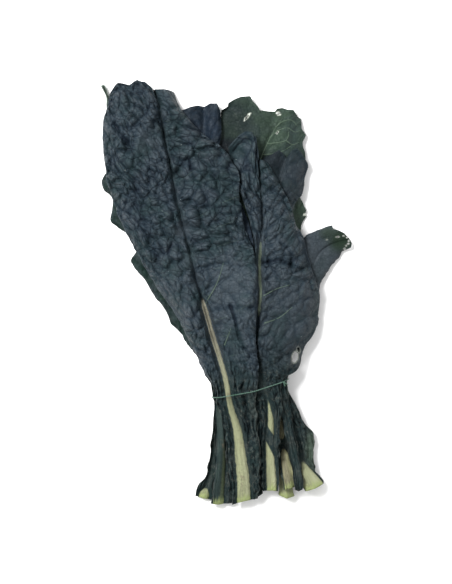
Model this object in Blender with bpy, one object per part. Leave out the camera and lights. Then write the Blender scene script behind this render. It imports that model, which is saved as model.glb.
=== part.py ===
"""A tied bunch of lacinato kale, lying flat.

Nine leaves lie on each other, each one blade and rib grown in one piece. A thin strand holds them
near their cut ends. Sizes are in millimetres until the meshes are made: x runs to the right, y from
the cut ends to the leaf tips, and z up.
"""

import math
from dataclasses import dataclass

import bpy
import numpy as np

MM = 0.001

# Blade and rib
BLADE_THICKNESS = 1.0
STEEPEST = 0.55
LEAF_GAP = 0.4
RIB_TIP_WIDTH = 2.0
RIB_TAPER = 1.2
RIB_DEPTH_SHARE = 0.55
RIB_PRESSED_FLAT = 0.6
RIB_CARRIES = 22.0
TIP_BLEND_LENGTH = 34.0

# Relief: the share of a leaf's length over which stem wings turn into open blade, then each form's size
BLADE_BEGINS = 0.25
BLADE_IS_FULL = 0.5
MARGIN_WAVE = 2.6
MARGIN_WAVE_LENGTH = 31.0
MARGIN_DROOP = 4.0
RUFFLE_LENGTH = 52.0
CREASE_WIDTH = 9.0
BLISTER_SPACING = 23.0
BLISTER_RADIUS = 14.3
BLISTER_HEIGHT = 3.6
BLISTER_SHARE_ON_STEM = 0.3
SMOOTH_BESIDE_RIB = 7.0
PILLOW_FULLNESS = 0.8
RUFFLE_SIDES_APART = 2.1
CRUMPLE_HEIGHT = 2.2
CRUMPLES_PER_SIDE = 3
CRUMPLE_TWIST_LENGTH = 30.0

# The strand round the stems, which crosses the bunch along this line
STRAND_RADIUS = 0.6
STRAND_CLEARANCE = 0.45
STRAND_SIDES = 8
STRAND_LEFT = (-13.0, -105.0)
STRAND_RIGHT = (61.0, -85.0)
STRAND_BOW = 3.0
STRAND_BED_HALF_WIDTH = 16.0
STRAND_TOUCHES_WITHIN = 2.5
ALONG_STEMS = (-0.27, 0.96, 0.0)
LOOSE_END_LENGTH = 6.0
LOOSE_END_WAYS = ((0.75, -0.45, 0.5), (0.25, -0.7, 0.65))
LOOSE_END_RADII = (0.54, 0.5, 0.3)
STRAIGHT_ENOUGH = 0.03

# The height map on which the leaves are laid
MAP_CELL = 1.0
MAP_HALF_WIDTH = 150
MAP_HALF_LENGTH = 240
TRIANGLE_SAMPLES = 18


@dataclass
class Leaf:
    """One leaf. A station is a left edge point, a rib point and a right edge point, from the cut end up."""

    name: str
    color: tuple
    stations: list
    tip_left: list
    tip_right: list
    rib_width: float
    crease: float
    pillow_left: float
    pillow_right: float
    ruffle: float
    rows: int
    columns: int
    seed: int
    folds: tuple = ()
    drape: float = 9.0


SLATE = (0.040, 0.056, 0.064)
DARK_GREEN = (0.030, 0.058, 0.042)
GREEN = (0.055, 0.092, 0.060)
STRAND_GREEN = (0.13, 0.27, 0.20)

LEAVES = [
    Leaf(
        name="leaf_under_middle",
        color=DARK_GREEN,
        stations=[
            ((24, -209), (31, -207), (39, -201)),
            ((24, -185), (31, -184), (40, -183)),
            ((22, -159), (30, -159), (40, -159)),
            ((19, -135), (28, -135), (39, -135)),
            ((14, -112), (26, -112), (38, -112)),
            ((10, -95), (24, -94), (38, -91)),
            ((-4, -62), (18, -62), (42, -59)),
            ((-26, -19), (10, -19), (50, -17)),
            ((-41, 25), (2, 25), (48, 27)),
            ((-54, 68), (-8, 68), (36, 70)),
            ((-66, 108), (-21, 108), (20, 109)),
            ((-76, 143), (-36, 145), (-1, 145)),
            ((-78, 168), (-48, 173), (-26, 171)),
        ],
        tip_left=[(-74, 185), (-66, 192), (-56, 194)],
        tip_right=[(-56, 194), (-50, 189)],
        rib_width=10,
        crease=2,
        pillow_left=3,
        pillow_right=3,
        ruffle=4,
        rows=24,
        columns=3,
        seed=1,
    ),
    Leaf(
        name="leaf_under_right",
        color=DARK_GREEN,
        stations=[
            ((52, -203), (61, -206.5), (71, -204)),
            ((51, -183), (58, -184), (68, -182)),
            ((46, -157), (54, -158), (64, -158)),
            ((42, -135), (51, -135), (62, -135)),
            ((36, -112), (47, -113), (60, -112)),
            ((30, -95), (43, -94), (57, -89)),
            ((24, -62), (44, -63), (71, -65)),
            ((17, -22), (46, -23), (84, -25)),
            ((14, 18), (46, 17), (88, 13)),
            ((12, 58), (44, 57), (70, 51)),
            ((10, 98), (42, 97), (70, 93)),
            ((14, 133), (44, 133), (72, 128)),
            ((22, 158), (46, 159), (66, 155)),
        ],
        tip_left=[(28, 171), (38, 176), (49, 175)],
        tip_right=[(49, 175), (58, 170)],
        rib_width=11,
        crease=2,
        pillow_left=3,
        pillow_right=3,
        ruffle=4,
        rows=24,
        columns=3,
        seed=2,
    ),
    Leaf(
        name="leaf_back_green",
        color=GREEN,
        stations=[
            ((57, -197), (66, -195), (73, -193)),
            ((52, -177), (61, -175), (69, -175)),
            ((48, -154), (57, -153), (68, -153)),
            ((44, -132), (54, -132), (67, -132)),
            ((39, -112), (51, -112), (64, -111)),
            ((32, -94), (47, -92), (60, -87)),
            ((24, -67), (44, -67), (70, -70)),
            ((14, -27), (40, -29), (77, -37)),
            ((6, 13), (35, 9), (80, 1)),
            ((0, 53), (32, 47), (78, 40)),
            ((-2, 66), (31.5, 60), (79, 57)),
            ((-3, 76), (31, 69), (77, 68)),
            ((-4, 86), (31, 78), (82, 79)),
            ((-5, 93), (31, 86), (80, 88)),
            ((-7, 104), (31.5, 96), (76.5, 98)),
            ((-8, 118), (32, 109), (78, 108)),
            ((-9, 134), (33.5, 123), (79, 120)),
            ((-9, 143), (35, 133), (82, 133)),
            ((-9, 153), (38, 142), (81, 144)),
            ((-8, 160), (40, 147), (78.5, 151)),
            ((-8, 167), (42, 152), (81.5, 159)),
            ((-7, 175), (45, 158), (77.5, 166)),
            ((-6, 181), (48, 163), (77.5, 172)),
        ],
        tip_left=[
            (-5, 184),
            (2, 188.5),
            (2, 191.5),
            (8, 195),
            (15, 197.8),
            (24.5, 198.5),
            (27, 193),
            (31.6, 188.3),
            (34, 184),
            (43, 183),
            (49.5, 183),
            (51.4, 186),
            (57, 187),
        ],
        tip_right=[(57, 187), (62, 185), (68, 184.5), (73, 177.5)],
        rib_width=9,
        crease=1,
        pillow_left=3,
        pillow_right=3,
        ruffle=6,
        rows=40,
        columns=6,
        seed=3,
    ),
    Leaf(
        name="leaf_left_rear",
        color=DARK_GREEN,
        stations=[
            ((-32, -204), (-23, -207), (-13, -209)),
            ((-23, -186), (-16, -185), (-7, -187)),
            ((-18, -164), (-12, -163), (-3, -163)),
            ((-15, -139), (-9, -138), (0, -138)),
            ((-13.5, -114), (-7, -113), (3, -112)),
            ((-16, -95), (-9, -92), (6, -91)),
            ((-31, -66), (-18, -60), (8, -60)),
            ((-42, -50), (-26, -38), (8, -38)),
            ((-50, -39), (-33, -22), (6, -22)),
            ((-57, -34), (-38, -12), (4, -12)),
            ((-61, -24), (-43, 0), (1, 0)),
            ((-69, -12), (-49, 13), (-4, 13)),
            ((-75, -1), (-55, 26), (-10, 26)),
            ((-83, 14), (-61, 38), (-16, 38)),
            ((-93, 24), (-66, 48), (-23, 48)),
            ((-97, 32), (-70, 55), (-27, 55)),
            ((-91, 43), (-74, 64), (-31, 64)),
            ((-99, 56), (-78, 73), (-35, 73)),
            ((-114, 67), (-81, 80), (-38, 80)),
            ((-119, 73), (-84, 87), (-41, 87)),
            ((-116, 86), (-88, 95), (-45, 95)),
            ((-118, 97), (-91, 103), (-49, 103)),
            ((-126, 103), (-94, 111), (-53, 111)),
            ((-127.5, 112), (-97, 119), (-57, 119)),
            ((-122, 123), (-101, 129), (-63, 129)),
            ((-117, 134), (-104, 140), (-72, 140)),
            ((-117, 160), (-110, 166), (-88, 166)),
            ((-121, 188), (-115, 189), (-108, 188)),
            ((-121, 197), (-118.8, 198), (-116.8, 197)),
        ],
        tip_left=[(-126, 209), (-124.3, 210.5)],
        tip_right=[(-124.3, 210.5), (-122.4, 209.6)],
        rib_width=10,
        crease=2,
        pillow_left=3,
        pillow_right=3,
        ruffle=4,
        rows=46,
        columns=3,
        seed=4,
    ),
    Leaf(
        name="leaf_right_tail",
        color=SLATE,
        stations=[
            ((77.5, -200), (89, -196), (100.5, -190.5)),
            ((71, -180), (81, -179), (92.5, -179)),
            ((63, -157), (73, -157), (91, -160)),
            ((59, -137), (67, -137), (90, -142)),
            ((56, -120), (63, -121), (80, -130)),
            ((53, -105), (60, -106), (71, -112)),
            ((50, -92), (58, -92), (66, -94)),
            ((46, -69), (62, -69), (72, -70)),
            ((49, -39), (70, -41), (88, -41)),
            ((54, -7), (77, -13), (95, -12)),
            ((62, 21), (83, 12), (96, 8)),
            ((70, 43), (89, 31), (101, 23)),
            ((79, 58.5), (97, 43), (111, 36)),
            ((91, 64), (107, 49), (117, 43)),
        ],
        tip_left=[(105, 66), (114, 62.5), (119, 60.5), (126.5, 52.5)],
        tip_right=[(126.5, 52.5), (126, 47), (121, 44.5)],
        rib_width=11,
        crease=1,
        pillow_left=3,
        pillow_right=3,
        ruffle=3,
        rows=32,
        columns=4,
        seed=5,
        drape=24.0,
    ),
    Leaf(
        name="leaf_right_inner",
        color=SLATE,
        stations=[
            ((69, -197), (73, -199), (78, -196)),
            ((65, -179), (71, -178), (77, -177)),
            ((61, -156), (66, -156), (73, -155)),
            ((57, -135), (62, -135), (69, -134)),
            ((51, -114), (58, -114), (66, -113)),
            ((42, -96), (53, -95), (62, -89)),
            ((36, -67), (51, -67), (72, -69)),
            ((28, -27), (50, -28), (82, -32)),
            ((24, 13), (49, 11), (80, 7)),
            ((22, 53), (49, 50), (70, 48)),
            ((24, 78), (50, 76), (68, 78)),
            ((26, 94), (51, 91), (73, 92)),
            ((28, 108), (53, 105), (79.5, 102)),
            ((31, 121), (55, 117), (80, 116)),
            ((34, 131), (58, 127), (84, 129)),
        ],
        tip_left=[(37, 136), (46, 139), (53, 143), (61, 136)],
        tip_right=[(61, 136), (66, 143), (71, 145), (76, 141), (79, 134)],
        rib_width=8,
        crease=2,
        pillow_left=4,
        pillow_right=4,
        ruffle=5,
        rows=26,
        columns=4,
        seed=6,
    ),
    Leaf(
        name="leaf_back_slate",
        color=SLATE,
        stations=[
            ((-16, -212), (-8, -213), (8, -211)),
            ((-13, -187), (-6, -187), (9, -187)),
            ((-12, -163), (-4.5, -163), (8, -163)),
            ((-13, -138), (-5.5, -138), (8, -138)),
            ((-13.5, -113), (-7, -113), (8, -112)),
            ((-14, -95), (-5, -92), (12, -91)),
            ((-26, -59), (-5, -57), (18, -57)),
            ((-41, -19), (-4, -17), (26, -17)),
            ((-54, 23), (-5, 23), (30, 23)),
            ((-61, 63), (-9, 63), (28, 63)),
            ((-64, 98), (-14, 98), (19, 98)),
            ((-61, 133), (-19, 133), (8, 133)),
            ((-54, 163), (-22, 163), (0, 163)),
        ],
        tip_left=[(-48, 183), (-42, 184.5), (-36, 187), (-29, 189), (-22, 188)],
        tip_right=[(-22, 188), (-16, 191), (-9, 191), (-5, 183)],
        rib_width=10,
        crease=2,
        pillow_left=4,
        pillow_right=4,
        ruffle=5,
        rows=28,
        columns=3,
        seed=7,
    ),
    Leaf(
        name="leaf_top_right",
        color=SLATE,
        stations=[
            ((36, -199), (46, -198), (54, -199)),
            ((34, -177), (45, -175), (54, -177)),
            ((32, -154), (44, -153), (55, -156)),
            ((31, -132), (45, -132), (56, -135)),
            ((28, -112), (43, -112), (58, -111)),
            ((23, -96), (38, -93), (57, -91)),
            ((21, -84), (34.5, -81), (61, -84)),
            ((20, -75), (32, -71), (73, -77)),
            ((19, -66), (30, -62), (77.5, -67)),
            ((18, -57), (29, -53), (81, -56)),
            ((17, -45), (30, -43), (88, -45)),
            ((17, -33), (31.5, -33), (93, -33)),
            ((17, -17), (33, -16), (95.5, -18)),
            ((17, 3), (34.5, 2), (97, 2)),
            ((19, 18), (33.5, 16), (92, 13)),
            ((23, 31), (33.5, 29), (87, 25)),
            ((26, 41), (34, 39), (83, 40)),
            ((27, 51), (34.5, 49), (79.5, 56)),
            ((24, 63), (36, 62), (73, 68)),
            ((19, 80), (36.5, 76), (69, 80)),
            ((15, 100), (35.5, 92), (64, 94)),
            ((12, 121), (34, 110), (55, 110)),
            ((9, 139), (32.5, 127), (46, 124)),
        ],
        tip_left=[(10, 146), (16, 151), (17, 158), (21, 161), (26, 161), (30, 155), (32, 143), (33, 134)],
        tip_right=[(33, 134), (40, 131)],
        rib_width=9,
        crease=4,
        pillow_left=5,
        pillow_right=6,
        ruffle=4,
        rows=44,
        columns=6,
        seed=8,
        drape=15.0,
        folds=(
            ([(36, 30), (53, 34), (64, 28)], -3.5, 5.0),
            ([(40, 44), (58, 48), (68, 42)], 3.0, 6.0),
            ([(40, 5), (64, 9), (84, -2)], 2.5, 9.0),
        ),
    ),
    Leaf(
        name="leaf_top_left",
        color=SLATE,
        stations=[
            ((8, -213), (18, -209), (34, -206)),
            ((3, -187), (17, -184), (36, -185)),
            ((0, -162), (14.5, -162), (35, -162)),
            ((-4, -137), (11.5, -139), (32, -137)),
            ((-10, -112), (3.5, -109), (28, -111)),
            ((-13, -97), (0, -88), (28, -94)),
            ((-23, -82), (-5, -69), (29, -75)),
            ((-36, -52), (-14, -40), (30, -49)),
            ((-48, -29), (-21, -15), (31, -25)),
            ((-69, 3), (-28, 8), (32, 8)),
            ((-88, 35), (-36, 41), (29.5, 41)),
            ((-105, 66), (-43, 68), (21, 63)),
            ((-117, 98), (-50, 98), (15, 93)),
            ((-123, 128), (-56, 130), (13, 121)),
            ((-126, 153), (-60.5, 150), (-1, 143)),
            ((-124, 175), (-64, 171), (-23, 160)),
            ((-120, 189), (-67, 188), (-42, 181)),
        ],
        tip_left=[(-118, 200), (-109, 211), (-97, 208.5), (-89, 213.5), (-80, 211), (-73, 205)],
        tip_right=[(-73, 205), (-63, 205), (-52, 203)],
        rib_width=12.5,
        crease=6,
        pillow_left=9,
        pillow_right=5,
        ruffle=4,
        rows=46,
        columns=7,
        seed=9,
        folds=(
            ([(-118, 197), (-109, 170), (-99, 152)], -4.0, 6.0),
            ([(-76, 172), (-90, 140), (-92, 95)], 4.0, 8.0),
            ([(-58, 96), (-36, 35), (-24, -2)], 3.0, 8.0),
            ([(-20, 120), (-8, 60), (4, 10)], 3.0, 10.0),
        ),
    ),
]


def clear_scene():
    for obj in list(bpy.data.objects):
        bpy.data.objects.remove(obj)


def smoothstep(low, high, value):
    share = np.clip((value - low) / (high - low), 0.0, 1.0)
    return share * share * (3 - 2 * share)


def lengths_along(points):
    """The distance of each point from the first, along the line through them."""
    steps = np.linalg.norm(np.diff(points, axis=0), axis=1)
    return np.concatenate([[0.0], np.cumsum(steps)])


def smooth_curve(knots, points, at):
    """Points of the smooth curve that passes through the given points at the given knots."""
    points = np.asarray(points, float)
    slopes = np.gradient(points, knots, axis=0)
    index = np.clip(np.searchsorted(knots, at, side="right") - 1, 0, len(knots) - 2)
    span = (knots[index + 1] - knots[index])[:, None]
    share = ((at - knots[index])[:, None]) / span
    start, end = points[index], points[index + 1]
    start_slope, end_slope = slopes[index] * span, slopes[index + 1] * span
    bend = share * share * (3 - 2 * share)
    into = share * (1 - share) ** 2
    out_of = share * share * (1 - share)
    return start + (end - start) * bend + start_slope * into - end_slope * out_of


def along_edge(points, share):
    """Points at the given shares of the length of a broken line."""
    points = np.asarray(points, float)
    length = lengths_along(points)
    at = share * length[-1]
    return np.column_stack([np.interp(at, length, points[:, axis]) for axis in (0, 1)])


class Plan:
    """A leaf's grid seen from above: rows across the leaf, columns along it."""

    def __init__(self, leaf):
        ends = (leaf.tip_left[0], leaf.tip_left[-1], leaf.tip_right[-1])
        stations = np.array(leaf.stations + [ends], float)
        knots = lengths_along(stations[:, 1])
        self.length = knots[-1]
        self.along = np.linspace(0, self.length, leaf.rows)
        left, rib, right = (smooth_curve(knots, stations[:, i], self.along) for i in range(3))
        self.rib_half = rib_half_width(leaf, self.along / self.length)
        self.side = column_sides(leaf.columns)
        self.from_rib = np.zeros((leaf.rows, len(self.side)))
        self.edge_share = np.zeros_like(self.from_rib)
        self.xy = np.zeros((leaf.rows, len(self.side), 2))
        for column, side in enumerate(self.side):
            edge = left if side < 0 else right
            share = self.share_of_width(edge, rib, side)
            self.xy[:, column] = rib + (edge - rib) * share[:, None]
            self.edge_share[:, column] = share
            self.from_rib[:, column] = np.linalg.norm(edge - rib, axis=1) * share
        self.shape_tip(leaf)
        self.wave_margins(leaf)

    def share_of_width(self, edge, rib, side):
        """How far out a column lies in each row: the first column each way is the rib's own edge."""
        width = np.linalg.norm(edge - rib, axis=1)
        rib_share = np.minimum(self.rib_half / width, 0.5)
        if abs(side) <= 1:
            return abs(side) * rib_share
        return rib_share + (1 - rib_share) * (abs(side) - 1)

    def shape_tip(self, leaf):
        """The last rows bend into the outline of the leaf's tip."""
        last = self.edge_share[-1]
        left = along_edge(leaf.tip_left, 1 - last)
        right = along_edge(leaf.tip_right, last)
        tip = np.where(self.side[:, None] < 0, left, right)
        reach = min(TIP_BLEND_LENGTH, 0.2 * self.length)
        bend = smoothstep(self.length - reach, self.length, self.along)
        self.xy += bend[:, None, None] * (tip - self.xy[-1])[None]

    def wave_margins(self, leaf):
        """Scallops cut into both margins, fading at the stem and the tip."""
        phase = leaf.seed * 1.7
        wave = 0.5 * np.sin(2 * math.pi * self.along / MARGIN_WAVE_LENGTH + phase) - 0.5
        share = self.along / self.length
        fade = smoothstep(BLADE_BEGINS, BLADE_IS_FULL, share) * smoothstep(1.0, 0.9, share)
        middle = self.xy[:, len(self.side) // 2][:, None]
        outward = self.xy - middle
        reach = np.maximum(np.linalg.norm(outward, axis=2, keepdims=True), 1e-6)
        shift = MARGIN_WAVE * (wave * fade)[:, None] * self.edge_share**3
        self.xy += outward / reach * shift[:, :, None]


def rib_half_width(leaf, share):
    """The rib narrows evenly from its cut end to the tip."""
    return 0.5 * (RIB_TIP_WIDTH + (leaf.rib_width - RIB_TIP_WIDTH) * (1 - share) ** RIB_TAPER)


def column_sides(count):
    """0 is the rib's middle, 1 and -1 its edges, 2 and -2 the margins."""
    blade = 1 + np.arange(1, count + 1) / count
    half = np.concatenate([[1.0], blade])
    return np.concatenate([-half[::-1], [0.0], half])


def blisters(xy, seed):
    """Round swellings on an uneven lattice, between 0 and 1."""
    lattice = np.random.default_rng(seed)
    columns = int(2 * MAP_HALF_WIDTH / BLISTER_SPACING) + 2
    rows = int(2 * MAP_HALF_LENGTH / BLISTER_SPACING) + 2
    grid = np.stack(np.meshgrid(np.arange(columns), np.arange(rows)), axis=-1).reshape(-1, 2)
    centres = (grid + lattice.uniform(-0.35, 0.35, grid.shape)) * BLISTER_SPACING
    centres -= (MAP_HALF_WIDTH, MAP_HALF_LENGTH)
    distance = np.linalg.norm(xy[..., None, :] - centres, axis=-1).min(axis=-1)
    return np.clip(1 - (distance / BLISTER_RADIUS) ** 2, 0, 1)


def relief(leaf, plan):
    """How far each point of the upper face stands above the level where the leaf lies."""
    along = plan.along[:, None]
    out = plan.edge_share
    left = plan.side[None, :] < 0
    blade = smoothstep(BLADE_BEGINS, BLADE_IS_FULL, along / plan.length)
    off_rib = smoothstep(0, SMOOTH_BESIDE_RIB, plan.from_rib - plan.rib_half[:, None])
    crease = leaf.crease * blade * (1 - np.exp(-((plan.from_rib / CREASE_WIDTH) ** 2)))
    puffed = np.sin(math.pi * out) ** PILLOW_FULLNESS
    pillow = np.where(left, leaf.pillow_left, leaf.pillow_right) * blade * puffed
    phase = leaf.seed + RUFFLE_SIDES_APART * left
    waves = 0.5 + 0.5 * np.sin(2 * math.pi * along / RUFFLE_LENGTH + phase)
    ruffle = leaf.ruffle * blade * out**2 * waves
    droop = MARGIN_DROOP * blade * out**6
    blistered = BLISTER_SHARE_ON_STEM + (1 - BLISTER_SHARE_ON_STEM) * blade
    swelling = BLISTER_HEIGHT * blistered * blisters(plan.xy, leaf.seed) * off_rib
    twist = leaf.seed + along / CRUMPLE_TWIST_LENGTH
    gathers = np.abs(np.sin(CRUMPLES_PER_SIDE * math.pi * out + twist))
    crumple = CRUMPLE_HEIGHT * (1 - blade) * gathers * off_rib
    carried = rib_depth(plan)[:, None] * np.exp(-plan.from_rib / RIB_CARRIES)
    folded = sum(fold_height(fold, plan.xy) for fold in leaf.folds)
    return crease + pillow + ruffle - droop + swelling + crumple + carried + folded


def fold_height(fold, xy):
    """A ridge, or a crease where the height is below zero, along a line drawn on the leaf."""
    line, height, width = fold
    line = np.asarray(line, float)
    nearest = np.full(xy.shape[:-1], np.inf)
    for start, end in zip(line[:-1], line[1:]):
        step = end - start
        share = np.clip(((xy - start) @ step) / (step @ step), 0, 1)
        nearest = np.minimum(nearest, np.linalg.norm(xy - start - share[..., None] * step, axis=-1))
    return height * np.exp(-((nearest / width) ** 2))


def rib_depth(plan):
    return 2 * plan.rib_half * RIB_DEPTH_SHARE


def upright_thickness(plan, top):
    """The blade's thickness, measured upright, so more where it is steep."""
    return BLADE_THICKNESS / np.maximum(grid_normals(plan.xy, top)[..., 2], STEEPEST)


def rib_below(plan):
    """How far the rib swells out under the blade."""
    rounded = np.clip(1 - (plan.from_rib / (1.6 * plan.rib_half[:, None])) ** 4, 0, 1)
    return (rib_depth(plan)[:, None] + RIB_PRESSED_FLAT) * rounded


def grid_normals(xy, z):
    points = np.dstack([xy, z])
    along = np.gradient(points, axis=0)
    across = np.gradient(points, axis=1)
    normals = np.cross(across, along)
    return normals / np.linalg.norm(normals, axis=2, keepdims=True)


def grid_triangles(rows, columns):
    """The same split of each cell for both faces of a leaf."""
    index = np.arange(rows * columns).reshape(rows, columns)
    a, b = index[:-1, :-1].ravel(), index[:-1, 1:].ravel()
    c, d = index[1:, 1:].ravel(), index[1:, :-1].ravel()
    return np.concatenate([np.column_stack([a, b, c]), np.column_stack([a, c, d])])


def triangle_weights(count):
    """Evenly spread points inside a triangle, as shares of its corners."""
    steps = [(i, j) for i in range(count + 1) for j in range(count + 1 - i)]
    shares = np.array(steps) / count
    return np.column_stack([shares, 1 - shares.sum(axis=1)])


class Pile:
    """The height of what lies there so far, on a map of square cells."""

    def __init__(self):
        self.x = np.arange(-MAP_HALF_WIDTH, MAP_HALF_WIDTH + MAP_CELL, MAP_CELL)
        self.y = np.arange(-MAP_HALF_LENGTH, MAP_HALF_LENGTH + MAP_CELL, MAP_CELL)
        grid_x, grid_y = np.meshgrid(self.x, self.y)
        room = 2 * STRAND_RADIUS + 2 * STRAND_CLEARANCE
        off_strand = grid_y - strand_line(grid_x)
        self.floor = room * np.exp(-((off_strand / STRAND_BED_HALF_WIDTH) ** 4))
        self.top = self.floor.copy()
        self.weights = triangle_weights(TRIANGLE_SAMPLES)

    def cells(self, xy):
        column = np.rint((xy[..., 0] + MAP_HALF_WIDTH) / MAP_CELL).astype(int)
        row = np.rint((xy[..., 1] + MAP_HALF_LENGTH) / MAP_CELL).astype(int)
        return row, column

    def samples(self, values, faces):
        """A value at each sample point of each triangle."""
        return np.einsum("fk...,sk->fs...", values[faces], self.weights)

    def cover(self, reach):
        """A smooth sheet that lies on everything in the pile. A stiff leaf has a long reach."""
        level = self.level()
        sheet = level
        for _ in range(4):
            sheet = np.maximum(blurred(sheet, reach), level)
        return blurred(sheet, 0.5 * reach)

    def level(self):
        """The lowest that the next leaf may lie: on the floor itself, or a small gap above a leaf."""
        gap = LEAF_GAP * (self.top > self.floor)
        return widest(self.top + gap)

    def lift(self, bottom, xy, faces):
        """Raises the underside's points until each triangle clears the pile."""
        row, column = self.cells(self.samples(xy, faces))
        need = self.level()[row, column]
        for _ in range(80):
            short = need - self.samples(bottom, faces)
            if short.max() < 0.02:
                break
            push = (np.clip(short, 0, None)[:, :, None] * np.minimum(1, 1.5 * self.weights)).max(axis=1)
            rise = np.zeros_like(bottom)
            np.maximum.at(rise, faces, push)
            bottom = bottom + rise
        return bottom

    def lay(self, top, xy, faces):
        row, column = self.cells(self.samples(xy, faces))
        np.maximum.at(self.top, (row, column), self.samples(top, faces))


def widest(height):
    """Each cell takes the highest value next to it."""
    padded = np.pad(height, 1, mode="edge")
    rows, columns = height.shape
    shifted = [padded[i : i + rows, j : j + columns] for i in range(3) for j in range(3)]
    return np.max(shifted, axis=0)


def blurred(height, reach):
    """A soft average over a circle of about this many millimetres."""
    radius = int(3 * reach / MAP_CELL)
    offsets = np.arange(-radius, radius + 1) * MAP_CELL
    kernel = np.exp(-0.5 * (offsets / reach) ** 2)
    kernel /= kernel.sum()
    padded = np.pad(height, radius, mode="edge")
    across = np.apply_along_axis(np.convolve, 1, padded, kernel, mode="valid")
    return np.apply_along_axis(np.convolve, 0, across, kernel, mode="valid")


def strand_line(x):
    """Where the strand crosses the bunch, seen from above: a shallow bow."""
    share = (x - STRAND_LEFT[0]) / (STRAND_RIGHT[0] - STRAND_LEFT[0])
    share = np.clip(share, -0.5, 1.5)
    bow = STRAND_BOW * 4 * share * (1 - share)
    return STRAND_LEFT[1] + (STRAND_RIGHT[1] - STRAND_LEFT[1]) * share - bow


def value_on(height, xy):
    """Reads the map between its cells."""
    x = (xy[..., 0] + MAP_HALF_WIDTH) / MAP_CELL
    y = (xy[..., 1] + MAP_HALF_LENGTH) / MAP_CELL
    column, row = np.floor(x).astype(int), np.floor(y).astype(int)
    right, up = x - column, y - row
    low = height[row, column] * (1 - right) + height[row, column + 1] * right
    high = height[row + 1, column] * (1 - right) + height[row + 1, column + 1] * right
    return low * (1 - up) + high * up


def laid_leaf(leaf, pile):
    """The leaf's upper and lower face, laid on the pile, and the grid's triangles."""
    plan = Plan(leaf)
    rows, columns = plan.from_rib.shape
    faces = grid_triangles(rows, columns)
    xy = plan.xy.reshape(-1, 2)
    resting = value_on(pile.cover(leaf.drape), plan.xy)
    floor = value_on(pile.floor, plan.xy)
    top = resting + BLADE_THICKNESS + relief(leaf, plan)
    upright = upright_thickness(plan, top)
    top = np.maximum(top, floor + upright)
    bottom = np.maximum(top - upright - rib_below(plan), floor)
    thick = (top - bottom).ravel()
    bottom = pile.lift(bottom.ravel(), xy, faces)
    top = bottom + thick
    pile.lay(top, xy, faces)
    upper = np.column_stack([xy, top])
    lower = np.column_stack([xy, bottom])
    return upper, lower, faces, (rows, columns)


def border(rows, columns):
    """The grid's outer points in order, against the clock seen from above."""
    index = np.arange(rows * columns).reshape(rows, columns)
    return np.concatenate([index[0, :], index[1:, -1], index[-1, -2::-1], index[-2:0:-1, 0]])


def closed_sheet(name, upper, lower, faces, shape):
    """A closed solid: the upper face, the lower face turned over, and a wall round the margin."""
    count = len(upper)
    ring = border(*shape)
    following = np.roll(ring, -1)
    wall = np.concatenate(
        [
            np.column_stack([ring + count, following + count, following]),
            np.column_stack([ring + count, following, ring]),
        ]
    )
    triangles = np.concatenate([faces, faces[:, ::-1] + count, wall])
    return mesh_object(name, np.concatenate([upper, lower]), triangles)


def mesh_object(name, points, triangles):
    mesh = bpy.data.meshes.new(name)
    mesh.from_pydata((points * MM).tolist(), [], triangles.tolist())
    mesh.validate()
    mesh.shade_smooth()
    mesh.set_sharp_from_angle(angle=math.radians(50))
    obj = bpy.data.objects.new(name, mesh)
    bpy.context.scene.collection.objects.link(obj)
    return obj


def add_material(obj, color, roughness):
    material = bpy.data.materials.new(obj.name)
    material.use_nodes = True
    shader = material.node_tree.nodes["Principled BSDF"]
    shader.inputs["Base Color"].default_value = (*color, 1.0)
    shader.inputs["Roughness"].default_value = roughness
    shader.inputs["Metallic"].default_value = 0.0
    obj.data.materials.append(material)


def strand_path(points):
    """The closed line of a strand pulled tight round all the points near it."""
    near = points[np.abs(points[:, 1] - strand_line(points[:, 0])) < STRAND_TOUCHES_WITHIN]
    section = near[:, [0, 2]]
    away = STRAND_RADIUS + STRAND_CLEARANCE
    angles = np.radians(np.arange(0, 360, 4))
    outward = np.column_stack([np.cos(angles), np.sin(angles)])
    furthest = section[np.argmax(section @ outward.T, axis=0)]
    loop = without_straight_points(furthest + away * outward)
    return np.column_stack([loop[:, 0], strand_line(loop[:, 0]), loop[:, 1]])


def without_straight_points(loop):
    """Leaves out the points that lie almost on the line between their neighbours."""
    kept = [loop[0]]
    for point, following in zip(loop[1:], np.roll(loop, -1, axis=0)[1:]):
        chord = following - kept[-1]
        to_point = point - kept[-1]
        off_line = abs(chord[0] * to_point[1] - chord[1] * to_point[0]) / np.linalg.norm(chord)
        if off_line > STRAIGHT_ENOUGH:
            kept.append(point)
    return np.array(kept)


def tube(name, path, radii, closed):
    """A round tube along a path, with flat ends where it isn't closed."""
    path = np.asarray(path, float)
    count = len(path)
    if closed:
        tangents = np.roll(path, -1, axis=0) - np.roll(path, 1, axis=0)
    else:
        tangents = np.gradient(path, axis=0)
    tangents /= np.linalg.norm(tangents, axis=1, keepdims=True)
    first = np.cross(tangents, np.array(ALONG_STEMS))
    first /= np.linalg.norm(first, axis=1, keepdims=True)
    second = np.cross(tangents, first)
    angles = np.arange(STRAND_SIDES) * 2 * math.pi / STRAND_SIDES
    ring = np.cos(angles)[None, :, None] * first[:, None] + np.sin(angles)[None, :, None] * second[:, None]
    points = (path[:, None] + ring * np.asarray(radii, float)[:, None, None]).reshape(-1, 3)
    triangles = []
    for i in range(count if closed else count - 1):
        for j in range(STRAND_SIDES):
            here, there = i * STRAND_SIDES, (i + 1) % count * STRAND_SIDES
            k = (j + 1) % STRAND_SIDES
            triangles += [(here + j, here + k, there + k), (here + j, there + k, there + j)]
    if not closed:
        last = (count - 1) * STRAND_SIDES
        for j in range(1, STRAND_SIDES - 1):
            triangles += [(0, j + 1, j), (last, last + j, last + j + 1)]
    return mesh_object(name, points, np.array(triangles))


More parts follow.
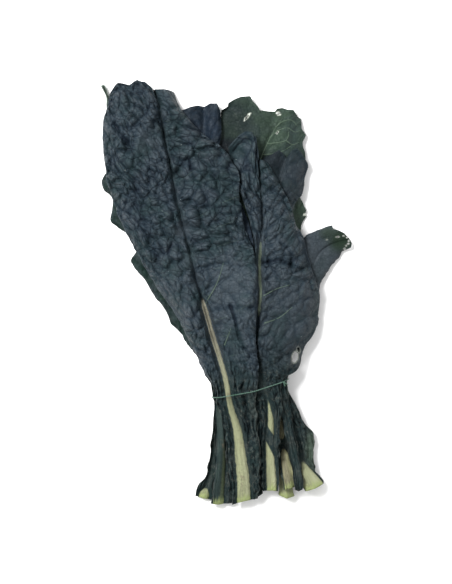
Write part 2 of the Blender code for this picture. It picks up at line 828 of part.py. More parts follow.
def build_tie(points):
    """The strand and its two short loose ends, joined in one piece."""
    path = strand_path(points)
    ring = tube("tie", path, np.full(len(path), STRAND_RADIUS), closed=True)
    add_material(ring, STRAND_GREEN, 0.45)
    knot = path[np.argmax(path[:, 0] + path[:, 2])]
    for number, direction in enumerate(LOOSE_END_WAYS):
        reach = np.array([0.0, 0.5, 1.0]) * LOOSE_END_LENGTH
        line = knot + reach[:, None] * np.array(direction)
        end = tube(f"loose_end_{number}", line, LOOSE_END_RADII, closed=False)
        end.hide_render = True
        end.display_type = "WIRE"
        join = ring.modifiers.new(f"join_{number}", "BOOLEAN")
        join.operation = "UNION"
        join.object = end
    return ring


def centre_on_floor(objects):
    """Moves everything so that the bunch stands over the origin with its lowest point on the floor."""
    points = np.array([vertex.co for obj in objects for vertex in obj.data.vertices])
    low, high = points.min(axis=0), points.max(axis=0)
    shift = np.array([(low[0] + high[0]) / 2, (low[1] + high[1]) / 2, low[2]])
    for obj in list(bpy.data.objects):
        for vertex in obj.data.vertices:
            vertex.co = np.array(vertex.co) - shift


def build_bunch():
    pile = Pile()
    objects = []
    samples = []
    for leaf in LEAVES:
        upper, lower, faces, shape = laid_leaf(leaf, pile)
        obj = closed_sheet(leaf.name, upper, lower, faces, shape)
        add_material(obj, leaf.color, 0.55)
        objects.append(obj)
        samples += [pile.samples(face, faces).reshape(-1, 3) for face in (upper, lower)]
    objects.append(build_tie(np.concatenate(samples)))
    centre_on_floor(objects)


clear_scene()
build_bunch()
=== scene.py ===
# %% [markdown]
# # A tied bunch of lacinato kale
# Nine long, blistered leaves lie on each other, and a thin strand holds them just above their cut ends.
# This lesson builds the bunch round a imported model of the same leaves, which gives every leaf its place.
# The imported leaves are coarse, so each one is replaced here by a fine leaf of the same form.

import math
from dataclasses import dataclass

import bpy
import numpy as np
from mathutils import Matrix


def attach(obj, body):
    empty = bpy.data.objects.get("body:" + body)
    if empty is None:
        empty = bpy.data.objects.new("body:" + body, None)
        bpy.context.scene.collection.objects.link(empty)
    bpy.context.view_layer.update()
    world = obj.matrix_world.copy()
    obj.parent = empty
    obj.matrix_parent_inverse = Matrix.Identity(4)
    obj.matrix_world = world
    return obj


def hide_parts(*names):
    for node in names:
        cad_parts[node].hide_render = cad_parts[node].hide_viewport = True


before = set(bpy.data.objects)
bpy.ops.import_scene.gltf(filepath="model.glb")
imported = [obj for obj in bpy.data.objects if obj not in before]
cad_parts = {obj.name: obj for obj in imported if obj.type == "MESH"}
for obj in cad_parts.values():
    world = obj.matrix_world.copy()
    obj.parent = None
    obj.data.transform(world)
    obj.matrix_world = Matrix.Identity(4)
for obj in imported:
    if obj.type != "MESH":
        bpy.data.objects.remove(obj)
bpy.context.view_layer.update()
print("packed nodes:", sorted(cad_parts))

# %% [markdown]
# ## The leaves as a gardener would lay them out
# Each leaf is described from above, in millimetres: x runs to the right and y from the cut ends to the
# tips. A station is a point on the left margin, one on the rib and one on the right margin. Drawing only
# these few points keeps the shape easy to change, and smooth curves fill in the rest.

# %% What describes a leaf
MM = 0.001
# A worn hole goes through several leaves: its place, its half width and half length, and its turn in degrees
DEEP_HOLE = (69, -64, 4.2, 7.0, -10)


@dataclass
class Leaf:
    """One leaf. Stations run from the cut end up, and the tip's outline closes the leaf.

    A pair holds the value for the left half and the one for the right half. Heights and widths are in
    millimetres. blister, undulation, scallop and swelling are 1 for a leaf with strong relief.
    A fold is a line with its height and width, and a spot is its place, its reach and its strength.
    rib_seen lists where along y the rib lies open: low end, high end, and the fade at each end.
    """

    name: str
    finish: str
    stations: list
    tip_left: list
    tip_right: list
    rib_width: float
    crease: tuple
    pillow: tuple
    ruffle: float
    rows: int
    blade_columns: int
    seed: int
    drape: float = 9.0
    blister: float = 1.0
    undulation: float = 1.0
    swelling: float = 1.0
    scallop: float = 1.0
    droop: tuple = (4.0, 4.0)
    cells: tuple = (1.0, 1.0)
    slope: tuple = (1.0, 1.0)
    neck: float = 0.46
    flare: float = 0.0
    flat_at_rib: bool = False
    closed_shade: float = 0.9
    rib_tone: str = "pale"
    rib_seen: tuple = ()
    folds: tuple = ()
    crossings: tuple = ()
    veins: tuple = ()
    calm_spots: tuple = ()
    pale_spots: tuple = ()
    # Spots of painted shade, which darken the leaf where it lies deep in a pocket of the pile
    painted_shade_spots: tuple = ()
    worn_spots: tuple = ()
    holes: tuple = ()
    # A near-white rim round each worn hole: dry tissue, and painted light that stands in for the lit table
    # seen through the hole
    papery: float = 0.3


# %% The two leaves at the bottom of the pile
leaf_under_middle = Leaf(
    name="leaf_under_middle",
    finish="dark_green",
    stations=[
        ((24, -209), (31, -207), (39, -201)),
        ((24, -185), (31, -184), (40, -183)),
        ((22, -159), (30, -159), (40, -159)),
        ((19, -135), (28, -135), (39, -135)),
        ((14, -112), (26, -112), (38, -112)),
        ((10, -95), (24, -94), (38, -91)),
        ((-4, -62), (18, -62), (42, -59)),
        ((-26, -19), (10, -19), (50, -17)),
        ((-41, 25), (2, 25), (48, 27)),
        ((-54, 68), (-8, 68), (36, 70)),
        ((-66, 108), (-21, 108), (20, 109)),
        ((-76, 143), (-36, 145), (-1, 145)),
        ((-78, 168), (-48, 173), (-26, 171)),
    ],
    tip_left=[(-74, 185), (-66, 192), (-56, 194)],
    tip_right=[(-56, 194), (-50, 189)],
    rib_width=10,
    crease=(2, 2),
    pillow=(5, 5),
    ruffle=4,
    rows=170,
    blade_columns=34,
    seed=1,
    blister=0.15,
    undulation=0.1,
)
leaf_under_right = Leaf(
    name="leaf_under_right",
    finish="dark_green",
    stations=[
        ((52, -203), (61, -206.5), (71, -204)),
        ((51, -183), (58, -184), (68, -182)),
        ((46, -157), (54, -158), (64, -158)),
        ((42, -135), (51, -135), (62, -135)),
        ((36, -112), (47, -113), (60, -112)),
        ((30, -95), (43, -94), (57, -89)),
        ((24, -62), (44, -63), (71, -65)),
        ((17, -22), (46, -23), (84, -25)),
        ((14, 18), (46, 17), (88, 13)),
        ((12, 58), (44, 57), (70, 51)),
        ((10, 98), (42, 97), (70, 93)),
        ((14, 133), (44, 133), (72, 128)),
        ((22, 158), (46, 159), (66, 155)),
    ],
    tip_left=[(28, 171), (38, 176), (49, 175)],
    tip_right=[(49, 175), (58, 170)],
    rib_width=19,
    crease=(2, 2),
    pillow=(5, 5),
    ruffle=4,
    rows=160,
    blade_columns=32,
    seed=2,
    blister=0.15,
    undulation=0.1,
    rib_seen=((-260, -182, 1, 8),),
    holes=(DEEP_HOLE, (51.5, 161.5, 3.5, 3.5, 0), (21.5, 177.5, 3.0, 6.0, -42)),
)

# %% The green leaf at the back and the one along the left edge
leaf_back_green = Leaf(
    name="leaf_back_green",
    finish="green",
    stations=[
        ((57, -197), (66, -195), (73, -193)),
        ((52, -177), (61, -175), (69, -175)),
        ((48, -154), (57, -153), (68, -153)),
        ((44, -132), (54, -132), (67, -132)),
        ((39, -112), (51, -112), (64, -111)),
        ((32, -94), (47, -92), (60, -87)),
        ((24, -67), (44, -67), (70, -70)),
        ((14, -27), (40, -29), (77, -37)),
        ((6, 13), (35, 9), (80, 1)),
        ((0, 53), (32, 47), (78, 40)),
        ((-2, 66), (31.5, 60), (79, 57)),
        ((-3, 76), (31, 69), (77, 68)),
        ((-4, 86), (31, 78), (82, 79)),
        ((-5, 93), (31, 86), (80, 88)),
        ((-7, 104), (31.5, 96), (76.5, 98)),
        ((-13, 118), (32, 109), (78, 108)),
        ((-17, 134), (33.5, 123), (79, 120)),
        ((-18, 143), (35, 133), (82, 133)),
        ((-17, 153), (38, 142), (81, 144)),
        ((-14, 160), (40, 147), (78.5, 151)),
        ((-11, 167), (42, 152), (81.5, 159)),
        ((-7, 175), (45, 158), (77.5, 166)),
        ((-6, 181), (48, 163), (77.5, 172)),
    ],
    tip_left=[
        (-5, 184), (2, 188.5), (2, 191.5), (8, 195), (15, 197.8), (24.5, 198.5), (27, 193),
        (31.6, 188.3), (34, 184), (43, 183), (49.5, 183), (51.4, 186), (57, 187),
    ],
    tip_right=[(57, 187), (62, 185), (68, 184.5), (73, 177.5)],
    rib_width=9,
    crease=(0, 0),
    pillow=(3, 3),
    ruffle=6,
    rows=220,
    blade_columns=50,
    seed=3,
    blister=0.25,
    undulation=0.35,
    flare=6.0,
    flat_at_rib=True,
    closed_shade=0.0,
    rib_tone="brownish",
    rib_seen=((-260, -163, 1, 9), (-144, -124, 4, 10)),
    veins=(
        ((34, 133), (38.6, 144), (45, 157), (49.5, 165), (57, 176)),
        ((41, 150), (52, 151), (60, 153), (63, 160), (62, 166)),
        ((44, 156), (52, 163), (62, 166), (70, 162), (75, 164)),
        ((60, 153), (67, 149), (74, 152)),
        ((50, 167), (58, 173), (66, 174), (72, 168)),
        ((37, 139), (48, 140), (58, 143), (67, 149)),
    ),
    painted_shade_spots=((-2, 146, 24, 14, 0.97), (8, 172, 24, 0.6), (35, 130, 14, 0.5), (34, 168, 14, 0.25)),
    holes=(
        (21.5, 177.5, 0.9, 3.8, -42), (53, 181, 1.0, 2.4, 48), (51.5, 161.5, 1.0, 1.0, 0), DEEP_HOLE,
        (81.5, 80, 3.0, 1.0, 20),
    ),
    papery=1.0,
)
leaf_left_rear = Leaf(
    name="leaf_left_rear",
    finish="dark_green",
    stations=[
        ((-33, -204), (-23, -207), (-13, -209)),
        ((-30.5, -195), (-20, -196), (-10, -197)),
        ((-23, -186), (-16, -185), (-7, -187)),
        ((-18, -164), (-12, -163), (-3, -163)),
        ((-15, -139), (-9, -138), (0, -138)),
        ((-13.5, -114), (-7, -113), (3, -112)),
        ((-16, -95), (-9, -92), (6, -91)),
        ((-31, -66), (-18, -60), (8, -60)),
        ((-42, -50), (-26, -38), (8, -38)),
        ((-50, -39), (-33, -22), (6, -22)),
        ((-57, -34), (-38, -12), (4, -12)),
        ((-61, -24), (-43, 0), (1, 0)),
        ((-69, -12), (-49, 13), (-4, 13)),
        ((-75, -1), (-55, 26), (-10, 26)),
        ((-83, 14), (-61, 38), (-16, 38)),
        ((-93, 24), (-66, 48), (-23, 48)),
        ((-97, 32), (-70, 55), (-27, 55)),
        ((-91, 43), (-74, 64), (-31, 64)),
        ((-99, 56), (-78, 73), (-35, 73)),
        ((-114, 67), (-81, 80), (-38, 80)),
        ((-119, 73), (-84, 87), (-41, 87)),
        ((-116, 86), (-88, 95), (-45, 95)),
        ((-118, 97), (-91, 103), (-49, 103)),
        ((-126, 103), (-94, 111), (-53, 111)),
        ((-127.5, 112), (-97, 119), (-57, 119)),
        ((-122, 123), (-101, 129), (-63, 129)),
        ((-117, 134), (-104, 140), (-72, 140)),
        ((-117, 160), (-110, 166), (-88, 166)),
        ((-121, 188), (-115, 189), (-108, 188)),
        ((-121, 197), (-118.8, 198), (-116.8, 197)),
    ],
    tip_left=[(-126.3, 208.6), (-124.3, 210.5)],
    tip_right=[(-124.3, 210.5), (-121.9, 209.2)],
    rib_width=10,
    crease=(2, 2),
    pillow=(3, 3),
    ruffle=4,
    rows=240,
    blade_columns=34,
    seed=4,
    blister=0.4,
    undulation=0.25,
    rib_seen=((-260, -203, 1, 8),),
    pale_spots=((-123, 206, 12, 14, 0.9),),
)

# %% The leaf whose worn tip sticks out, and the leaf inside it
leaf_right_tail = Leaf(
    name="leaf_right_tail",
    finish="dusky",
    stations=[
        ((77.5, -200), (89, -196), (100.5, -190.5)),
        ((71, -180), (81, -179), (92.5, -179)),
        ((63, -157), (73, -157), (91, -160)),
        ((59, -137), (67, -137), (90, -142)),
        ((56, -120), (63, -121), (80, -130)),
        ((53, -105), (60, -106), (71, -112)),
        ((50, -92), (57, -92), (62, -94)),
        ((48, -84), (58, -84), (63.5, -84)),
        ((46, -69), (62, -69), (72, -70)),
        ((49, -39), (70, -41), (88, -41)),
        ((54, -7), (77, -13), (95, -12)),
        ((62, 21), (83, 12), (97, 8)),
        ((70, 43), (89, 31), (104, 22)),
        ((79, 58.5), (97, 43), (114, 34)),
        ((91, 64), (107, 49), (119, 41)),
    ],
    tip_left=[(102, 65), (107, 68.5), (108, 64.5), (114, 63), (119, 60.5), (125, 54)],
    tip_right=[(125, 54), (127, 50), (126, 46), (121, 43)],
    rib_width=11,
    crease=(0, 0),
    pillow=(1, 1),
    ruffle=1,
    rows=240,
    blade_columns=44,
    seed=5,
    drape=24.0,
    blister=0.12,
    undulation=0.25,
    swelling=0.2,
    slope=(1.6, 1.6),
    flare=10.0,
    closed_shade=0.0,
    rib_seen=((-260, -184, 1, 20),),
    pale_spots=((87, -157, 7, 19, 0.9), (105, 62, 9, 5, 0.35)),
    worn_spots=((117, 53, 15, 13, 1.0), (105, 59, 12, 7, 0.7)),
    holes=(
        DEEP_HOLE, (112.5, 56.5, 1.7, 0.8, 10), (118.4, 57.6, 0.8, 0.7, 0), (121.9, 55.8, 0.9, 0.7, 0),
        (123.9, 52.6, 1.1, 0.8, 60), (123.3, 49.6, 1.2, 0.9, 30), (121.0, 47.6, 0.9, 0.8, 0),
        (119.5, 44.6, 1.2, 1.0, 0), (101.5, 53.6, 0.7, 0.7, 0),
    ),
)
leaf_right_inner = Leaf(
    name="leaf_right_inner",
    finish="slate",
    stations=[
        ((69, -197), (73, -199), (78, -196)),
        ((65, -179), (71, -178), (77, -177)),
        ((61, -156), (66, -156), (73, -155)),
        ((57, -135), (62, -135), (69, -134)),
        ((51, -114), (58, -114), (66, -113)),
        ((42, -96), (53, -95), (62, -89)),
        ((36, -67), (51, -67), (72, -69)),
        ((28, -27), (50, -28), (82, -32)),
        ((24, 13), (49, 11), (80, 7)),
        ((22, 53), (49, 50), (70, 48)),
        ((24, 78), (50, 76), (68, 78)),
        ((26, 94), (51, 91), (73, 92)),
        ((28, 108), (53, 105), (79.5, 102)),
        ((31, 121), (55, 117), (80, 116)),
        ((34, 131), (58, 127), (84, 129)),
    ],
    tip_left=[(37, 136), (46, 139), (53, 143), (61, 136)],
    tip_right=[(61, 136), (66, 143), (71, 145), (76, 141), (79, 134)],
    rib_width=8,
    crease=(0, 0),
    pillow=(4, 4),
    ruffle=5,
    rows=190,
    blade_columns=38,
    seed=6,
    blister=0.35,
    undulation=0.4,
    flat_at_rib=True,
    closed_shade=0.0,
    painted_shade_spots=((62, 120, 60, 45, 0.45), (46, 133, 14, 20, 0.75)),
    holes=((69, -64, 3.8, 6.4, -10),),
)

# %% The shaded leaf at the upper edge
leaf_back_slate = Leaf(
    name="leaf_back_slate",
    # Its finish is the slate darkened as painted shade
    finish="deep",
    stations=[
        ((-16, -212), (-8, -213), (11, -211)),
        ((-13, -187), (-6, -187), (11, -187)),
        ((-12, -163), (-4.5, -163), (9, -163)),
        ((-13, -138), (-5.5, -138), (8, -138)),
        ((-13.5, -113), (-7, -113), (8, -112)),
        ((-14, -95), (-5, -92), (12, -91)),
        ((-26, -59), (-5, -57), (18, -57)),
        ((-41, -19), (-4, -17), (26, -17)),
        ((-54, 23), (-5, 23), (30, 23)),
        ((-61, 63), (-9, 63), (28, 63)),
        ((-64, 98), (-14, 98), (12, 98)),
        ((-61, 133), (-22, 133), (-6, 133)),
        ((-54, 163), (-22, 163), (-3, 163)),
    ],
    tip_left=[(-48, 183), (-42, 184.5), (-36, 187), (-29, 189), (-22, 188)],
    tip_right=[(-22, 188), (-16, 191), (-9, 191), (-5, 183)],
    rib_width=11,
    crease=(0, 0),
    pillow=(4, 4),
    ruffle=5,
    rows=200,
    blade_columns=36,
    seed=7,
    blister=0.35,
    undulation=0.35,
    flat_at_rib=True,
    closed_shade=0.0,
    rib_tone="olive",
    rib_seen=((-260, -118, 1, 12),),
)

# %% The narrow top leaf on the right
leaf_top_right = Leaf(
    name="leaf_top_right",
    finish="slate",
    stations=[
        ((36, -199), (46, -198), (54, -199)),
        ((31, -177), (45, -175), (54, -177)),
        ((29, -154), (44, -153), (55, -156)),
        ((27, -132), (45, -132), (56, -135)),
        ((23, -112), (43, -112), (58, -111)),
        ((19, -96), (38, -93), (57, -91)),
        ((19, -84), (34.5, -81), (61, -84)),
        ((20, -75), (32, -71), (73, -77)),
        ((19, -66), (30, -62), (77.5, -67)),
        ((18, -57), (29, -53), (81, -56)),
        ((17, -45), (30, -43), (88, -45)),
        ((17, -33), (31.5, -33), (93, -33)),
        ((17, -17), (33, -16), (95.5, -18)),
        ((17, 3), (34.5, 2), (97, 2)),
        ((19, 18), (33.5, 16), (92, 13)),
        ((23, 31), (33.5, 29), (87, 25)),
        ((26, 41), (34, 39), (83, 40)),
        ((27, 51), (34.5, 49), (79.5, 56)),
        ((24, 63), (36, 62), (73, 68)),
        ((19, 80), (36.5, 76), (69, 80)),
        ((13, 100), (35.5, 92), (64, 94)),
        ((7, 121), (34, 110), (55, 110)),
        ((2, 139), (32.5, 127), (46, 124)),
    ],
    tip_left=[(2, 146), (8, 152), (14, 158), (20, 161.5), (26, 161), (30, 155), (32, 143), (33, 134)],
    tip_right=[(33, 134), (40, 131)],
    rib_width=10,
    crease=(0.5, 0.5),
    pillow=(5, 6),
    ruffle=4,
    rows=290,
    blade_columns=58,
    seed=8,
    drape=15.0,
    droop=(4.0, 8.0),
    slope=(1.2, 0.9),
    neck=0.3,
    closed_shade=0.3,
    rib_tone="greenish",
    rib_seen=((-260, -131, 1, 32), (-12, 44, 16, 10)),
    folds=(
        ([(36, 30), (53, 34), (64, 28)], -1.8, 4.0),
        ([(40, 44), (58, 48), (68, 42)], 3.0, 6.0),
        ([(40, 5), (64, 9), (84, -2)], 2.5, 9.0),
        ([(37, 30), (53, 33), (64, 28), (76, 24)], -2.2, 1.6),
        ([(64, 28), (66, 36), (62, 44), (53, 50)], -2.4, 1.5),
        ([(32, -20), (30, -36), (29, -52)], -2.0, 1.8),
        ([(37, -128), (46, -145), (58, -168)], 4.0, 4.5),
    ),
    crossings=(([(34, -131), (45, -147), (58, -172)], 5.0),),
    veins=(
        ((37, -3), (50, 4), (63, 8)),
        ((38, -30), (52, -25), (66, -14)),
    ),
    calm_spots=((64, -24, 34, 46, 0.55), (50, 60, 20, 40, 0.3)),
    painted_shade_spots=((60, -60, 26, 24, 0.35), (60, -20, 40, 40, 0.2)),
    holes=((69, -64, 3.0, 5.2, -10), (72.5, -57, 1.6, 3.0, 15)),
)

# %% The wide top leaf on the left
leaf_top_left = Leaf(
    name="leaf_top_left",
    finish="slate",
    stations=[
        ((5, -213), (18, -209), (34, -206)),
        ((1, -187), (17, -184), (36, -185)),
        ((-1, -162), (14.5, -162), (35, -162)),
        ((-4, -137), (11.5, -139), (34, -137)),
        ((-10, -112), (3.5, -109), (32, -111)),
        ((-13, -97), (0, -88), (33, -94)),
        ((-23, -82), (-5, -69), (34, -75)),
        ((-36, -52), (-14, -40), (31, -49)),
        ((-48, -29), (-21, -15), (31, -25)),
        ((-69, 3), (-28, 8), (32, 8)),
        ((-88, 35), (-36, 41), (29.5, 41)),
        ((-105, 66), (-43, 68), (21, 63)),
        ((-117, 98), (-50, 98), (15, 93)),
        ((-123, 128), (-56, 130), (13, 121)),
        ((-126, 153), (-60.5, 150), (-1, 143)),
        ((-124, 175), (-64, 171), (-23, 160)),
        ((-120, 189), (-67, 188), (-42, 181)),
    ],
    tip_left=[(-118, 200), (-109, 211), (-97, 208.5), (-89, 213.5), (-80, 211), (-73, 205)],
    tip_right=[(-73, 205), (-63, 205), (-52, 203)],
    rib_width=14,
    crease=(2, 0.8),
    pillow=(13, 7),
    ruffle=4,
    rows=316,
    blade_columns=66,
    seed=9,
    blister=1.15,
    scallop=0.5,
    droop=(4.0, 8.0),
    cells=(0.85, 1.1),
    slope=(1.5, 0.45),
    neck=0.37,
    closed_shade=0.4,
    rib_seen=((-260, -14, 1, 12),),
    folds=(
        ([(-118, 197), (-114, 188), (-111, 169), (-105, 159), (-98, 150)], -2.4, 2.2),
        ([(-100, 151), (-95, 119), (-87, 88), (-78, 62), (-69, 27)], -2.0, 5.0),
        ([(-76, 172), (-90, 140), (-92, 115)], 2.5, 8.0),
        ([(-80, 205), (-73, 160), (-64, 118), (-54, 80), (-43, 45), (-32, 5)], 2.5, 7.0),
        ([(-20, 120), (-8, 60), (4, 10)], 3.0, 10.0),
        ([(-76, 174), (-63, 153), (-57, 118), (-53, 95)], 3.5, 4.5),
        ([(-76, 174), (-88, 152), (-93, 128)], 3.0, 4.5),
        ([(4, -12), (9, -26), (13, -45), (18, -55)], -3.6, 1.7),
        ([(-14, -16), (4, -14), (30, -15)], -2.2, 2.4),
        ([(-46, 130), (-20, 118), (-2, 104)], -1.8, 3.0),
        ([(-40, 92), (-16, 84), (8, 84)], -1.8, 3.0),
        ([(12, -76), (18, -100), (22, -140)], -2.5, 2.6),
    ),
    veins=(
        ((-20, -10), (-8, 12), (-2, 32)),
        ((-1.5, -52), (5, -35)),
    ),
    calm_spots=(
        (-43, 62, 8, 0.8), (-36, 34, 8, 0.8), (-29, 8, 7, 0.7), (-77, 150, 15, 0.5),
        (6, -12, 24, 62, 0.5), (-50, -6, 22, 40, 0.3),
    ),
)
LEAVES = [
    leaf_under_middle,
    leaf_under_right,
    leaf_back_green,
    leaf_left_rear,
    leaf_right_tail,
    leaf_right_inner,
    leaf_back_slate,
    leaf_top_right,
    leaf_top_left,
]
print("leaves, from the bottom of the pile:", [leaf.name for leaf in LEAVES])

# %% [markdown]
# ## From a few points to a grid
# A leaf's grid has rows across it and columns along it, so every grid point knows how far it is from the
# rib, from the margin and from the cut end. Those three distances drive the folds, the blisters and, later,
# the colours. Plain numpy code is used because all points can then be worked out at once.

# %% Curves through the stations
def smoothstep(low, high, value):
    share = np.clip((value - low) / (high - low), 0.0, 1.0)
    return share * share * (3 - 2 * share)


def partly(least, value):
    """From this least share up to 1, while the value goes from 0 to 1."""
    return least + (1 - least) * value


def lengths_along(points):
    """The distance of each point from the first, along the line through them."""
    steps = np.linalg.norm(np.diff(points, axis=0), axis=1)
    return np.concatenate([[0.0], np.cumsum(steps)])


def smooth_curve(knots, points, at):
    """Points of the smooth curve that passes through the given points at the given knots."""
    points = np.asarray(points, float)
    slopes = np.gradient(points, knots, axis=0)
    index = np.clip(np.searchsorted(knots, at, side="right") - 1, 0, len(knots) - 2)
    span = (knots[index + 1] - knots[index])[:, None]
    share = ((at - knots[index])[:, None]) / span
    start, end = points[index], points[index + 1]
    start_slope, end_slope = slopes[index] * span, slopes[index + 1] * span
    bend = share * share * (3 - 2 * share)
    into = share * (1 - share) ** 2
    out_of = share * share * (1 - share)
    return start + (end - start) * bend + start_slope * into - end_slope * out_of


def along_edge(points, share):
    """Points at the given shares of the length of a broken line."""
    points = np.asarray(points, float)
    length = lengths_along(points)
    at = share * length[-1]
    return np.column_stack([np.interp(at, length, points[:, axis]) for axis in (0, 1)])


# %% Random hills and cells, the same in every run
LATTICE = 64
LEANING = 0.9
FULLNESS = 0.3
VALLEY_GAP = 0.85


def hills(x, y, size, seed):
    """Smooth random hills between -1 and 1, of about this size in millimetres."""
    lattice = np.random.default_rng(seed).uniform(-1, 1, (LATTICE, LATTICE))
    u, v = x / size, y / size
    column, row = np.floor(u).astype(int), np.floor(v).astype(int)
    right, up = smoothstep(0, 1, u - column), smoothstep(0, 1, v - row)

    def corner(i, j):
        return lattice[(row + j) % LATTICE, (column + i) % LATTICE]

    low = corner(0, 0) * (1 - right) + corner(1, 0) * right
    high = corner(0, 1) * (1 - right) + corner(1, 1) * right
    return low * (1 - up) + high * up


def mixed_hills(leaf, x, y, kinds):
    """Several kinds of hills added together. Each kind is a height, a size and a seed."""
    return sum(tall * hills(x, y, size, leaf.seed + seed) for tall, size, seed in kinds)


def pillows(u, v, seed):
    """Puffed cells on an uneven lattice of cells about 1 wide, each leaning its own way.

    Returns the puff's height, 0 along the valleys and about 1 on top, and the distance from the valley.
    """
    chance = np.random.default_rng(seed)
    places = chance.uniform(0.08, 0.92, (LATTICE, LATTICE, 2))
    leanings = chance.uniform(-1, 1, (LATTICE, LATTICE, 3))
    column, row = np.floor(u).astype(int), np.floor(v).astype(int)
    nearest = np.full(np.shape(u), 9.0)
    second = nearest.copy()
    lean = np.zeros(np.shape(u))
    fullness = np.zeros(np.shape(u))
    for i in (-1, 0, 1):
        for j in (-1, 0, 1):
            cell = (row + j) % LATTICE, (column + i) % LATTICE
            across = u - column - i - places[cell][..., 0]
            along = v - row - j - places[cell][..., 1]
            away = np.hypot(across, along)
            closer = away < nearest
            second = np.where(closer, nearest, np.minimum(second, away))
            nearest = np.where(closer, away, nearest)
            to_side, to_front, full = np.moveaxis(leanings[cell], -1, 0)
            lean = np.where(closer, to_side * across + to_front * along, lean)
            fullness = np.where(closer, full, fullness)
    gap = second - nearest
    share = np.clip(gap / VALLEY_GAP, 0, 1)
    dome = 1 - (1 - share) ** 2
    return dome * (1 + FULLNESS * fullness + LEANING * lean), 0.5 * gap


# %% A leaf's grid seen from above
TIP_BLEND_LENGTH = 34.0
TIP_BLEND_SHARE = 0.2
RIB_COLUMNS = 5
RIB_TIP_WIDTH = 1.6
RIB_HIDDEN_SHARE = 0.12
RIB_NECK = 100.0
FLARE_LENGTH = 42.0
# Rows stand this much wider apart on the stem, and the spread ends between these places along it
ROW_SPREAD_AT_STEM = 1.9
STEM_ENDS = (130, 90)
# The rib's width from the cut end to the tip, as shares of its widths at the cut and at the neck
RIB_BEFORE_NECK = 0.74
RIB_AFTER_NECK = 0.9
# Where the stem's crumpled wings turn into open blade, as shares of the leaf's length
BLADE_BEGINS = 0.25
BLADE_IS_FULL = 0.5
# The scallops, teeth and tears along the margins: how deep they cut, and their kinds of hills
SCALLOP_DEPTH = 2.6
SCALLOPS = ((1.0, 18.6, 5),)
TOOTH_DEPTH = 1.6
TEETH = ((0.7, 8.0, 0), (0.5, 3.2, 1))
TEAR_DEPTH = 2.4
TEARS = ((1.0, 7.0, 7),)
OTHER_MARGIN = 500
# The width of a leaf's half where teeth begin, and where they are full
TOOTHED_WIDTHS = (3, 14)


def column_sides(rib_columns, blade_columns):
    """0 is the rib's middle, 1 and -1 its edges, 2 and -2 the margins."""
    on_rib = np.arange(1, rib_columns + 1) / rib_columns
    on_blade = 1 + np.arange(1, blade_columns + 1) / blade_columns
    half = np.concatenate([on_rib, on_blade])
    return np.concatenate([-half[::-1], [0.0], half])


